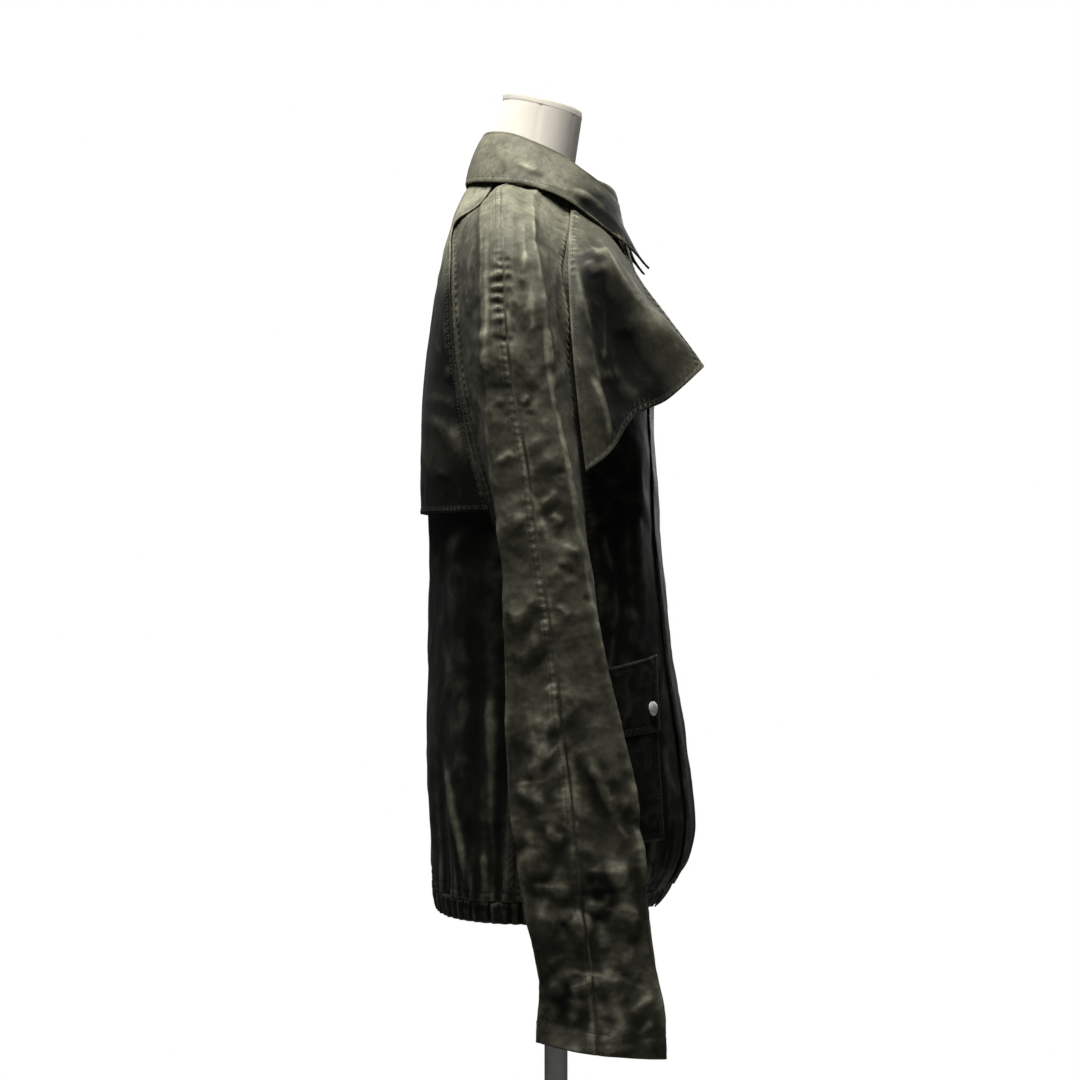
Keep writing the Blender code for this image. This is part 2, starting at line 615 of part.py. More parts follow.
def patch(stations, front_y, back_y, steps, stand_off):
    """(grid, normals): a piece that lies on the left front, moved out from it. Its edges' depths are
    those at the pocket's top and bottom."""
    stations = np.asarray(stations, float)
    ends = (POCKET_TOP, POCKET_BOTTOM)
    start = turn_at(stations, np.interp(stations, ends, back_y))
    end = turn_at(stations, np.interp(stations, ends, front_y))
    share = np.linspace(0, 1, steps + 1)[None]
    grid = body_points(stations, start[:, None] + (end - start)[:, None] * share)
    normals = normals_of(grid)
    return grid + normals * np.reshape(stand_off, (-1, 1, 1)), normals


def build_pockets(olive, nickel):
    """A patch pocket, its flap and the flap's snap, on each front."""
    for side, mirrored in (("left", False), ("right", True)):
        rows = np.linspace(POCKET_TOP, POCKET_BOTTOM, POCKET_ROWS + 1)
        grid, normals = patch(rows, POCKET_FRONT_Y, POCKET_BACK_Y, POCKET_STEPS, POCKET_LIFT)
        cloth(f"pocket_{side}", grid, normals, olive, mirrored)
        rows = np.linspace(POCKET_FLAP_TOP, POCKET_FLAP_BOTTOM, POCKET_FLAP_ROWS + 1)
        grid, normals = patch(rows, POCKET_FRONT_Y, POCKET_BACK_Y, POCKET_STEPS, 2 * POCKET_LIFT)
        cloth(f"pocket_flap_{side}", grid, normals, olive, mirrored)
        rows = SNAP_STATION + np.array((-SNAP_SPAN, 0.0, SNAP_SPAN))
        seat, out = patch(rows, SNAP_Y[:1] * 2, SNAP_Y[1:] * 2, 1, 2 * POCKET_LIFT + WALL / 2 + SNAP_SEAT)
        build_snap(f"snap_{side}", seat[1, 1], out[1, 1], nickel, mirrored)


def build_snap(name, seat, out, finish, mirrored):
    """A domed snap cap, turned about the cloth's normal."""
    if mirrored:
        seat, out = seat * (-1, 1, 1), out * (-1, 1, 1)
    angles = np.linspace(0, 2 * math.pi, SNAP_SIDES, endpoint=False)
    side = unit(np.cross(out, (0, 0, 1)))
    up = np.cross(side, out)
    ring = np.cos(angles)[:, None] * side + np.sin(angles)[:, None] * up
    points = [seat]
    for radius, height in SNAP_PROFILE:
        points.extend(seat + ring * radius + out * height)
    points.append(seat + out * SNAP_HEIGHT)
    faces = []
    following = np.roll(np.arange(SNAP_SIDES), -1)
    levels = len(SNAP_PROFILE)
    for i in range(SNAP_SIDES):
        faces.append((0, 1 + i, 1 + following[i]))
        for level in range(levels - 1):
            low, high = 1 + level * SNAP_SIDES, 1 + (level + 1) * SNAP_SIDES
            faces.append((low + i, high + i, high + following[i], low + following[i]))
        last = 1 + (levels - 1) * SNAP_SIDES
        faces.append((last + i, 1 + levels * SNAP_SIDES, last + following[i]))
    turn_outwards(add_mesh(name, points, faces, finish))


def gathered(grid, normals, depths, overlapped=False):
    """The grid with a fold out and in for each gather, as deep as each row's depth, and nearly flat
    where the fronts lie on each other."""
    steps = grid.shape[1] - 1
    sway = np.where(np.arange(steps + 1) % 2 == 0, 1.0, -1.0)
    uneven = 1 - GATHER_UNEVENNESS * (1 - np.sin(np.arange(steps + 1) * GATHER_PACE))
    share = np.where(grid[..., 0] < FLAT_GATHERS_X, FLAT_GATHERS_SHARE, 1.0) if overlapped else 1.0
    return grid + normals * (sway * uneven * share * np.reshape(depths, (-1, 1)))[..., None]


def hem_stations(seam):
    """The casing's rows: its seam with the panel, its middle and its free edge."""
    return np.array((SKIRT_END + seam, (SKIRT_END + HEM_END) / 2, HEM_END))


def build_hem_casings(olive):
    """The gathered casing along the hem, one piece for each panel."""
    stations = hem_stations(HEM_SEAM)
    back_turn = seam_turns(stations)[0]
    depths = (GATHER_DEPTH * SEAM_GATHER_SHARE, GATHER_DEPTH, GATHER_DEPTH)
    across = np.linspace(-1, 1, 2 * BACK_GATHERS + 1)[None]
    grid = body_points(stations, across * (back_turn - HEM_INSET)[:, None])
    normals = normals_of(grid)
    cloth("hem_casing_back", gathered(grid, normals, depths), normals, olive)
    share = np.linspace(0, 1, 2 * FRONT_GATHERS + 1)[None]
    for side, widths, mirrored in (("left", UPPER_OVERLAP, False), ("right", UNDER_OVERLAP, True)):
        stations = hem_stations(HEM_SEAM if mirrored else LAPPED_HEM_SEAM)
        end = math.pi + front_overlap(stations, widths)
        start = seam_turns(stations)[1] + HEM_INSET
        grid = body_points(stations, start[:, None] + (end - start)[:, None] * share)
        normals = normals_of(grid)
        grid = lapped(grid, 0.0 if mirrored else HEM_LIFT)
        cloth(f"hem_casing_{side}", gathered(grid, normals, depths, True), normals, olive, mirrored)


# ---------------------------------------------------------------- dress form

def form_ring(z, tilt, half, front_y, wide_y, back_y, power):
    """A ring of the form: an oval, tilted about its widest line."""
    turn = np.linspace(0, 2 * math.pi, FORM_SIDES, endpoint=False)
    cosine, sine = np.cos(turn), np.sin(turn)
    power = np.where(cosine >= 0, FORM_BACK_POWER, power)
    depth = np.where(cosine >= 0, back_y - wide_y, wide_y - front_y)
    x = half * np.sign(sine) * np.abs(sine) ** (2 / power)
    reach = depth * np.sign(cosine) * np.abs(cosine) ** (2 / power)
    return np.column_stack((x, wide_y + reach, z + tilt * reach))


def capped_loft(name, rings, finish):
    """A solid through rings that run from top to bottom, closed by a flat fan at each end."""
    rings = np.asarray(rings)
    count, sides = rings.shape[:2]
    points = np.vstack((rings.reshape(-1, 3), rings[0].mean(axis=0), rings[-1].mean(axis=0)))
    index = np.arange(count * sides).reshape(count, sides)
    after = np.roll(index, -1, axis=1)
    walls = np.stack((index[:-1], index[1:], after[1:], after[:-1]), -1).reshape(-1, 4)
    faces = [tuple(f) for f in walls]
    top, bottom = count * sides, count * sides + 1
    for i in range(sides):
        faces.append((top, index[0, i], after[0, i]))
        faces.append((bottom, after[-1, i], index[-1, i]))
    turn_outwards(add_mesh(name, points, faces, finish))


def build_form(cream, steel):
    """The limbless form: torso with neck, neck cap, pole and base."""
    stations = np.linspace(0, len(FORM_SECTIONS) - 1, FORM_ROWS + 1)
    table = np.column_stack((np.arange(len(FORM_SECTIONS)), FORM_SECTIONS))
    capped_loft("form_torso", [form_ring(*row) for row in through(table, stations)], cream)
    z, tilt, half, front_y, wide_y, back_y, power = FORM_SECTIONS[0]
    rings = []
    for rise, inset in reversed(NECK_CAP_PROFILE):
        rings.append(form_ring(z + rise, tilt, half - inset, front_y + inset, wide_y, back_y - inset, power))
    capped_loft("form_neck_cap", rings, cream)
    bottom = BASE_HEIGHT + SEAT_GAP
    top = FORM_SECTIONS[-1][0] - SEAT_GAP
    bpy.ops.mesh.primitive_cylinder_add(vertices=POLE_SIDES, radius=POLE_RADIUS, depth=top - bottom,
                                        location=(0, 0, (top + bottom) / 2))
    pole = bpy.context.object
    adopt(pole, "form_pole", steel)
    profile = bpy.data.meshes.new("form_base")
    points = [(x, 0, z) for x, z in BASE_PROFILE]
    profile.from_pydata(points, [(i, i + 1) for i in range(len(points) - 1)], [])
    base = bpy.data.objects.new("form_base", profile)
    bpy.data.collections[COLLECTION].objects.link(base)
    base.data.materials.append(steel)
    turned = base.modifiers.new("turned", "SCREW")
    turned.steps = turned.render_steps = BASE_SIDES
    turned.use_merge_vertices = True
    turned.merge_threshold = 0.00005
    turned.use_smooth_shade = False


def adopt(made, name, finish):
    """Names a primitive, gives it its material and moves it to the part's collection."""
    made.name = name
    made.data.name = name
    made.data.materials.append(finish)
    for home in list(made.users_collection):
        home.objects.unlink(made)
    bpy.data.collections[COLLECTION].objects.link(made)


def main():
    for old in list(bpy.data.objects):
        bpy.data.objects.remove(old, do_unlink=True)
    collection = bpy.data.collections.new(COLLECTION)
    bpy.context.scene.collection.children.link(collection)
    olive = material("waxed_cotton", (0.085, 0.083, 0.062), 0.55)
    nickel = material("snap_nickel", (0.62, 0.60, 0.56), 0.32, 1.0)
    cream = material("form_jersey", (0.78, 0.73, 0.66), 0.9)
    steel = material("stand_steel", (0.55, 0.55, 0.54), 0.35, 1.0)
    build_form(cream, steel)
    build_panels(olive)
    build_storm_cape(olive)
    build_gun_flap(olive)
    build_collar(olive)
    build_pockets(olive, nickel)
    build_hem_casings(olive)


main()
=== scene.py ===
"""The looks of a waxed-cotton trench coat on a dress form.

Metres, +Z up. The coat faces -Y and its own right side is at -X. Every cloth piece is a thin closed
shell around a surface, a grid of points whose rows run round the coat and whose columns run down it.
Points are worked out for the left side, with x counted outwards, and the right side is mirrored.
"""

import math

import bpy
import numpy as np
from bpy.props import FloatProperty, FloatVectorProperty, PointerProperty
from bpy.types import Operator, Panel, PropertyGroup
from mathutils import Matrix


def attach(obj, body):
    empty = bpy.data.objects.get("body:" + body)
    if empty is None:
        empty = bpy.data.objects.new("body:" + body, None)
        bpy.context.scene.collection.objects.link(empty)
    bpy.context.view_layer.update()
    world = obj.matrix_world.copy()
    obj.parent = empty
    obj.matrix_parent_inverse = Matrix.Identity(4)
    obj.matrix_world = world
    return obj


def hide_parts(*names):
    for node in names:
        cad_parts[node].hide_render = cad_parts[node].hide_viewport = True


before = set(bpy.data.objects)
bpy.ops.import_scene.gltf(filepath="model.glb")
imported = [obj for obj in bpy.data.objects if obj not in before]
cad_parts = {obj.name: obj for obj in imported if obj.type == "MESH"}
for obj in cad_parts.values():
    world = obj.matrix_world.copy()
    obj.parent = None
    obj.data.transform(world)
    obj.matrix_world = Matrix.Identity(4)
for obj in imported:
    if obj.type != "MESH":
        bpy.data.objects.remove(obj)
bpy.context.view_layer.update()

bl_info = {
    "name": "Trench coat",
    "version": (1, 0, 0),
    "blender": (4, 5, 0),
    "location": "3D View > Sidebar > Trench coat",
    "description": "A waxed-cotton trench coat on a dress form",
    "category": "Object",
}

MM = 0.001
TINY = 1e-9
BODY = "root"
MIRROR = (-1, 1, 1)
UPWARDS = (0, 0, 1)

# The depth (y) at which a section of the body is widest, and how square its front half is.
AXIS_Y = 0.018
FRONT_POWER = 2.1

# Sections of the body, from the neckline (0) over the underarm (9) to the hem (16).
# station, half width, front y, front z, side z, back y, back z, back squareness
BODY_SECTIONS = np.array((
    (0, 0.082, -0.0700, 1.372, 1.424, 0.0790, 1.443, 2.4),
    (1, 0.110, -0.0780, 1.350, 1.388, 0.0980, 1.415, 2.8),
    (2, 0.150, -0.0860, 1.320, 1.352, 0.1090, 1.383, 3.3),
    (3, 0.178, -0.0930, 1.290, 1.318, 0.1180, 1.345, 3.3),
    (4, 0.190, -0.0990, 1.255, 1.280, 0.1270, 1.295, 2.9),
    (5, 0.198, -0.1015, 1.210, 1.225, 0.1345, 1.235, 2.6),
    (6, 0.203, -0.1030, 1.165, 1.170, 0.1390, 1.175, 2.5),
    (7, 0.205, -0.1062, 1.115, 1.115, 0.1385, 1.115, 2.5),
    (8, 0.206, -0.1090, 1.060, 1.050, 0.1350, 1.050, 2.4),
    (9, 0.206, -0.1160, 1.000, 0.965, 0.1340, 0.985, 2.3),
    (10, 0.206, -0.1240, 0.925, 0.905, 0.1355, 0.915, 2.2),
    (11, 0.207, -0.1340, 0.860, 0.850, 0.1372, 0.855, 2.2),
    (12, 0.209, -0.1420, 0.800, 0.795, 0.1365, 0.795, 2.2),
    (13, 0.210, -0.1470, 0.748, 0.745, 0.1345, 0.745, 2.2),
    (14, 0.208, -0.1400, 0.710, 0.708, 0.1335, 0.708, 2.2),
    (15, 0.201, -0.1230, 0.688, 0.685, 0.1315, 0.683, 2.2),
    (16, 0.198, -0.1110, 0.668, 0.662, 0.1285, 0.658, 2.2),
))

# Where the seams cross each section: the two raglan seams, which become one side seam at station 9.
# station, back seam y, front seam y
SEAMS = np.array((
    (0, 0.0600, -0.0120),
    (1, 0.0780, -0.0140),
    (2, 0.1045, -0.0095),
    (3, 0.1060, -0.0055),
    (4, 0.1040, -0.0110),
    (5, 0.0985, -0.0135),
    (6, 0.0870, -0.0190),
    (7, 0.0720, -0.0245),
    (8, 0.0450, -0.0300),
    (9, -0.0360, -0.0360),
    (10, -0.0050, -0.0050),
    (11, 0.0300, 0.0300),
    (12, 0.0400, 0.0400),
    (16, 0.0420, 0.0420),
))

# The sleeve's lengthwise lines, from the neckline over the underarm (9) to the cuff (17).
# station, overarm x y z, back fold x y z, front fold x y z
SLEEVE_SECTIONS = np.array((
    (0, 0.0790, 0.0400, 1.4257, 0.0729, 0.0520, 1.4287, 0.0820, 0.0150, 1.4240),
    (1, 0.1120, 0.0555, 1.4165, 0.1040, 0.0690, 1.4085, 0.1180, 0.0260, 1.4030),
    (2, 0.1600, 0.0560, 1.3980, 0.1500, 0.0760, 1.3890, 0.1630, 0.0260, 1.3840),
    (3, 0.2000, 0.0550, 1.3700, 0.1900, 0.0760, 1.3620, 0.2030, 0.0245, 1.3560),
    (4, 0.2280, 0.0540, 1.3300, 0.2190, 0.0750, 1.3220, 0.2290, 0.0215, 1.3180),
    (5, 0.2430, 0.0510, 1.2600, 0.2340, 0.0738, 1.2600, 0.2430, 0.0125, 1.2550),
    (6, 0.2500, 0.0430, 1.1950, 0.2400, 0.0700, 1.2000, 0.2490, 0.0035, 1.1920),
    (7, 0.2560, 0.0300, 1.1250, 0.2430, 0.0670, 1.1300, 0.2520, -0.0110, 1.1200),
    (8, 0.2600, 0.0205, 1.0550, 0.2450, 0.0560, 1.0550, 0.2530, -0.0230, 1.0500),
    (9, 0.2630, 0.0100, 0.9850, 0.2460, 0.0520, 0.9850, 0.2520, -0.0350, 0.9850),
    (10, 0.2650, 0.0020, 0.9300, 0.2470, 0.0505, 0.9300, 0.2520, -0.0455, 0.9300),
    (11, 0.2670, -0.0040, 0.8720, 0.2480, 0.0490, 0.8720, 0.2520, -0.0590, 0.8720),
    (12, 0.2690, -0.0130, 0.8020, 0.2480, 0.0470, 0.8020, 0.2520, -0.0740, 0.8020),
    (13, 0.2700, -0.0185, 0.7475, 0.2490, 0.0400, 0.7475, 0.2520, -0.0809, 0.7475),
    (14, 0.2710, -0.0235, 0.6920, 0.2500, 0.0312, 0.6920, 0.2520, -0.0860, 0.6920),
    (15, 0.2710, -0.0320, 0.6400, 0.2500, 0.0225, 0.6400, 0.2530, -0.0935, 0.6400),
    (16, 0.2720, -0.0355, 0.6000, 0.2500, 0.0175, 0.6020, 0.2540, -0.1000, 0.5970),
    (17, 0.2720, -0.0390, 0.5440, 0.2510, 0.0200, 0.5530, 0.2540, -0.1060, 0.5370),
))

# The sleeve's underarm seam below the armhole.
# station, x, y, z
UNDERARM = np.array((
    (10, 0.2260, 0.0000, 0.9300),
    (11, 0.2260, -0.0040, 0.8720),
    (12, 0.2260, -0.0120, 0.8020),
    (13, 0.2260, -0.0190, 0.7475),
    (14, 0.2270, -0.0260, 0.6920),
    (15, 0.2280, -0.0340, 0.6400),
    (16, 0.2290, -0.0400, 0.6000),
    (17, 0.2290, -0.0430, 0.5440),
))

UNDERARM_STATION = 9
SKIRT_END = 15
HEM_END = 16
CUFF_STATION = 17

# The largest folds, seen from the side.
# start y, start z, end y, end z, width, rise
SLEEVE_FOLDS = (
    (0.0400, 1.3150, 0.0400, 1.2600, 0.013, -0.0050),
    (0.0250, 1.3200, 0.0150, 1.2300, 0.014, 0.0045),
    (0.0350, 1.1300, -0.0050, 1.0600, 0.016, -0.0030),
    (0.0300, 0.9500, 0.0100, 0.8600, 0.020, -0.0035),
    (-0.0150, 0.8300, -0.0450, 0.7500, 0.018, -0.0050),
    (-0.0450, 0.8300, -0.0600, 0.7300, 0.014, 0.0035),
    (0.0250, 0.6950, -0.0500, 0.6800, 0.018, -0.0040),
    (-0.0600, 0.6500, -0.0200, 0.5800, 0.020, -0.0035),
)
FACING_GAIN = 1.4
FACING_START = 0.2
BODY_FOLDS = (
    (0.1300, 0.8400, 0.0880, 0.6850, 0.014, 0.0050),
    (0.1050, 0.8200, 0.0620, 0.7000, 0.020, -0.0035),
    (-0.0900, 1.1400, -0.0970, 1.0000, 0.014, 0.0030),
    (-0.0680, 1.1200, -0.0720, 0.9900, 0.018, -0.0040),
)

# Creases seen from the coat's side, in millimetres: the first point, the middle, the last point, how far
# the cloth rises (or sinks, below 0), and how far it slopes away on the line's left and on its right.
# y, z, y, z, y, z, rise, left slope, right slope
UPPER_SLEEVE_CREASES = (
    (42, 1395, 41, 1351, 41, 1308, -1.7, 8, 9),
    (34, 1393, 33, 1346, 32, 1311, 2.0, 8, 11),
    (52, 1395, 50, 1375, 49, 1361, -1.0, 5, 7),
    (37, 1310, 35, 1296, 38, 1283, -1.5, 9, 9),
    (45, 1290, 43, 1277, 44, 1267, -1.1, 7, 7),
    (28, 1306, 24, 1277, 27, 1242, 1.8, 9, 9),
    (21, 1385, 11, 1346, 5, 1316, -1.5, 8, 9),
    (11, 1379, -1, 1320, -8, 1290, 2.0, 8, 11),
    (-8, 1290, -12, 1267, -12, 1237, 1.3, 8, 8),
    (61, 1332, 53, 1329, 45, 1332, -1.8, 5, 5),
    (60, 1323, 52, 1321, 45, 1324, -1.4, 5, 5),
    (60, 1312, 52, 1310, 44, 1313, -1.8, 7, 5),
    (59, 1298, 51, 1297, 44, 1300, -1.5, 7, 7),
    (61, 1282, 53, 1280, 46, 1283, -1.5, 7, 7),
    (55, 1250, 49, 1248, 43, 1251, -1.1, 5, 5),
    (28, 1194, 32, 1189, 36, 1184, 1.3, 7, 7),
    (24, 1193, 28, 1186, 33, 1178, -1.1, 5, 5),
    (61, 1188, 54, 1176, 48, 1169, -1.1, 7, 8),
    (33, 1176, 28, 1175, 23, 1174, -1.0, 5, 5),
    (56, 1124, 52, 1132, 40, 1134, 1.5, 7, 7),
    (2, 1118, -3, 1117, -9, 1116, -1.0, 5, 5),
    (16, 1083, 7, 1092, -2, 1101, 2.1, 9, 8),
    (21, 1078, 11, 1071, 2, 1065, -1.8, 9, 9),
    (7, 1077, 1, 1071, -7, 1065, 1.5, 8, 8),
    (3, 1057, -1, 1053, -5, 1048, -1.1, 7, 7),
    (-10, 1049, -13, 1041, -23, 1039, 1.5, 7, 7),
    (-4, 1027, -8, 1021, -23, 1014, -1.3, 7, 7),
    (2, 987, -5, 981, -14, 974, 1.5, 7, 7),
    (-25, 995, -29, 991, -33, 986, -1.0, 5, 5),
    (30, 1077, 39, 1066, 48, 1055, 1.8, 14, 11),
    (18, 997, 32, 982, 47, 965, 2.4, 16, 12),
    (10, 979, 30, 965, 51, 952, -1.8, 12, 14),
    (14, 955, 29, 942, 44, 928, 2.1, 14, 12),
    (9, 943, 25, 924, 41, 908, -1.7, 12, 14),
)
LOWER_SLEEVE_CREASES = (
    (12, 908, 6, 901, -1, 894, 1.8, 11, 11),
    (40, 909, 43, 863, 41, 808, -1.2, 13, 17),
    (2, 892, 14, 848, 24, 807, 2.9, 20, 13),
    (35, 892, 36, 853, 38, 813, -1.2, 13, 17),
    (46, 809, 27, 796, 9, 791, 2.8, 13, 13),
    (41, 769, 22, 764, 6, 762, -1.7, 13, 13),
    (9, 772, 1, 757, -10, 764, 2.5, 8, 8),
    (-13, 843, -34, 806, -55, 771, -1.7, 13, 11),
    (-29, 837, -45, 805, -59, 771, 2.8, 11, 13),
    (-63, 785, -69, 783, -75, 785, -1.1, 8, 8),
    (-61, 760, -69, 733, -71, 704, -1.7, 13, 10),
    (-73, 775, -81, 744, -85, 704, 2.5, 10, 8),
    (-16, 742, -32, 734, -39, 727, -1.3, 10, 10),
    (31, 708, 5, 709, -20, 702, 3.0, 11, 11),
    (-24, 698, -42, 690, -56, 706, 2.7, 10, 10),
    (-51, 692, -68, 684, -83, 677, 2.5, 10, 10),
    (31, 715, 16, 716, 2, 713, -1.7, 8, 10),
    (-26, 712, -39, 717, -53, 711, -1.5, 8, 8),
    (18, 679, -7, 689, -41, 681, -1.8, 15, 13),
    (-42, 681, -43, 663, -43, 645, 2.0, 10, 10),
    (-73, 671, -78, 646, -77, 620, -1.4, 13, 11),
    (-9, 607, -24, 612, -40, 623, 2.5, 11, 11),
    (-41, 623, -55, 616, -70, 620, 2.5, 11, 10),
    (-42, 612, -49, 587, -58, 561, -1.5, 13, 11),
    (-84, 617, -71, 601, -59, 586, -1.4, 11, 11),
    (-94, 602, -82, 592, -70, 581, 2.1, 8, 8),
    (-2, 607, -4, 587, 2, 566, -1.4, 13, 13),
    (-23, 602, -18, 587, -13, 571, 1.9, 11, 11),
    (-75, 559, -85, 568, -94, 578, 1.7, 7, 7),
    (-41, 550, -62, 551, -82, 551, 1.4, 6, 6),
)
FLAP_CREASES = (
    (-40, 1366, -68, 1309, -138, 1245, 8.0, 40, 15),
    (-18, 1338, -32, 1252, -54, 1145, 4.0, 12, 20),
    (-48, 1338, -57, 1263, -86, 1200, -5.0, 20, 28),
    (-49, 1299, -49, 1257, -45, 1221, 1.5, 6, 7),
    (-41, 1367, -66, 1324, -86, 1286, 1.7, 18, 18),
    (-80, 1293, -109, 1264, -140, 1233, 1.9, 21, 18),
    (-20, 1380, -35, 1349, -39, 1338, 1.3, 9, 9),
    (-39, 1338, -44, 1343, -50, 1350, 1.2, 8, 9),
    (-24, 1299, -39, 1247, -49, 1218, -1.4, 18, 21),
    (-49, 1218, -57, 1197, -63, 1174, -1.7, 15, 24),
    (-30, 1211, -47, 1170, -55, 1144, 1.7, 12, 14),
    (-44, 1305, -45, 1276, -45, 1245, 0.7, 8, 8),
    (-27, 1335, -34, 1326, -40, 1317, 1.4, 14, 14),
    (-20, 1307, -26, 1268, -35, 1230, 1.2, 12, 12),
    (-66, 1268, -86, 1245, -111, 1224, -1.6, 21, 21),
)
BACK_CREASES = (
    (127, 848, 103, 768, 88, 687, 3.0, 10, 14),
    (127, 848, 103, 768, 87, 685, 2.6, 6, 8),
    (112, 1030, 117, 949, 108, 869, 2.2, 14, 16),
    (88, 979, 82, 889, 80, 788, -2.6, 16, 16),
    (72, 909, 66, 828, 66, 738, 2.6, 14, 14),
    (118, 738, 112, 707, 106, 682, -2.2, 7, 8),
    (74, 738, 70, 707, 66, 675, 2.2, 7, 8),
)
FRONT_CREASES = (
    (-82, 1080, -87, 1033, -93, 957, 2.7, 9, 9),
    (-84, 1139, -87, 1105, -90, 1073, 2.2, 7, 7),
    (-55, 1110, -61, 1030, -67, 949, -2.2, 14, 12),
    (-108, 848, -118, 788, -120, 738, 2.2, 9, 9),
    (-94, 727, -102, 707, -108, 687, -2.1, 7, 8),
)
CAPE_CREASES = (
    (138, 1177, 116, 1171, 88, 1131, 4.0, 20, 30),
    (138, 1211, 115, 1211, 90, 1196, -3.0, 16, 16),
    (109, 1404, 114, 1310, 125, 1227, 2.0, 14, 20),
    (110, 1356, 124, 1272, 122, 1191, -3.0, 16, 18),
    (96, 1377, 100, 1292, 96, 1211, 2.7, 14, 16),
    (128, 1181, 110, 1155, 88, 1121, 2.4, 20, 20),
    (80, 1292, 77, 1211, 72, 1121, -2.4, 8, 12),
    (121, 1121, 112, 1098, 108, 1076, -2.2, 12, 12),
)
COLLAR_CREASES = (
    (-21, 1405, -45, 1390, -65, 1363, -3.5, 14, 11),
    (29, 1435, 19, 1430, 10, 1427, -2.0, 7, 7),
    (45, 1445, 31, 1440, 15, 1430, 1.5, 6, 6),
    (16, 1422, -14, 1415, -47, 1407, 1.4, 7, 7),
    (-17, 1411, -37, 1399, -58, 1378, -1.8, 10, 9),
    (69, 1457, 59, 1442, 53, 1426, -1.0, 8, 8),
)

# Pale lines where crests have been rubbed, in the same form: the seventh number is how pale they are.
SLEEVE_RUBS = (
    (26, 1357, 18, 1322, 13, 1290, 1.0, 3, 3),
    (13, 1296, 10, 1224, 1, 1173, 1.0, 3, 3),
    (2, 1183, -8, 1129, -25, 1030, 1.0, 3, 3),
    (-25, 1040, -34, 988, -56, 877, 0.6, 3, 3),
    (72, 1377, 71, 1287, 70, 1183, 0.6, 3, 4),
    (70, 1193, 69, 1129, 60, 1065, 0.6, 3, 3),
    (41, 1109, 21, 1085, 5, 1030, 0.35, 4, 4),
    (33, 892, 20, 833, 29, 794, 0.5, 5, 5),
    (17, 828, 5, 842, -7, 853, 0.7, 3, 3),
    (45, 808, 26, 811, 7, 813, 0.6, 3, 3),
    (-2, 774, -9, 769, -14, 764, 0.6, 3, 3),
    (-57, 774, -64, 764, -71, 754, 0.6, 3, 3),
    (-42, 690, -64, 682, -86, 675, 0.7, 3, 4),
    (-7, 626, -30, 623, -52, 621, 0.6, 3, 4),
    (-52, 621, -72, 614, -90, 606, 0.5, 3, 4),
)
FLAP_RUBS = (
    (-40, 1366, -68, 1309, -97, 1280, 0.7, 4, 4),
    (-18, 1338, -24, 1299, -37, 1247, 0.5, 4, 4),
    (-32, 1216, -44, 1190, -54, 1143, 0.9, 4, 4),
)
BACK_RUBS = (
    (127, 853, 103, 768, 87, 682, 0.7, 3, 4),
    (128, 889, 127, 848, 124, 798, 0.3, 3, 3),
)
# Painted shade: soft ovals where the cloth is painted darker, and a painted sheen, painted paler, where the
# last
# number is below 0, in millimetres: y, z, half the length along y and along z, and how much.
SLEEVE_PAINTED_SHADE = (
    (45, 1230, 22, 60, 0.2), (62, 640, 30, 60, 0.35), (-30, 700, 22, 30, 0.35), (0, 605, 30, 40, 0.4),
    (-44, 813, 12, 22, 0.5), (-10, 670, 18, 11, 0.5), (-50, 705, 18, 11, 0.5),
)
FLAP_PAINTED_SHADE = (
    (-60, 1262, 28, 66, 0.95), (-84, 1205, 42, 38, 1.1), (-33, 1325, 14, 34, 0.75),
    (-35, 1278, 14, 34, 0.9), (-66, 1176, 24, 24, 1.1),
)
CAPE_PAINTED_SHADE_AND_SHEEN = ((105, 1255, 34, 80, 0.3), (110, 1150, 30, 26, -0.6))
COLLAR_PAINTED_SHADE = (
    (-45, 1392, 28, 30, 1.3), (-78, 1360, 30, 30, 1.3), (-60, 1380, 30, 26, 0.8), (28, 1428, 10, 6, 0.35),
)

# How far each front reaches past the centre line, at stations down the front.
OVERLAP_STATIONS = (0, 3, 9, 16)
UPPER_OVERLAP = (0.018, 0.065, 0.085, 0.085)
UNDER_OVERLAP = (0.006, 0.030, 0.035, 0.035)
MOST_OVERLAP = 0.98
LIFT_START = 0.062
LIFT_RUN = 0.020
FRONT_LIFT = 0.0028

# The storm cape over the back.
CAPE_HEM_STATION = 7.57
CAPE_INSET = 0.007
CAPE_LIFT = 0.0018
CAPE_FLARE = 0.0045

# The gun flap: a row for each cross line, from the neckline to the hem, and in it the seam, the fold
# beside it, the hollow, the crease and the free front edge.
GUN_FLAP = (
    ((0.094, -0.0160, 1.4000), (0.087, -0.0310, 1.3935), (0.079, -0.0440, 1.3870),
     (0.070, -0.0520, 1.3815), (0.060, -0.0600, 1.3760)),
    ((0.162, -0.0120, 1.3380), (0.155, -0.0300, 1.3390), (0.145, -0.0450, 1.3400),
     (0.131, -0.0570, 1.3410), (0.083, -0.0865, 1.3245)),
    ((0.196, -0.0150, 1.2560), (0.191, -0.0300, 1.2570), (0.174, -0.0520, 1.2650),
     (0.128, -0.0850, 1.2860), (0.086, -0.1160, 1.2840)),
    ((0.207, -0.0220, 1.1760), (0.209, -0.0440, 1.1760), (0.176, -0.0650, 1.2050),
     (0.122, -0.1090, 1.2630), (0.088, -0.1450, 1.2450)),
    ((0.211, -0.0290, 1.1190), (0.212, -0.0530, 1.1380), (0.176, -0.0790, 1.1760),
     (0.135, -0.1140, 1.1950), (0.092, -0.1540, 1.2310)),
)

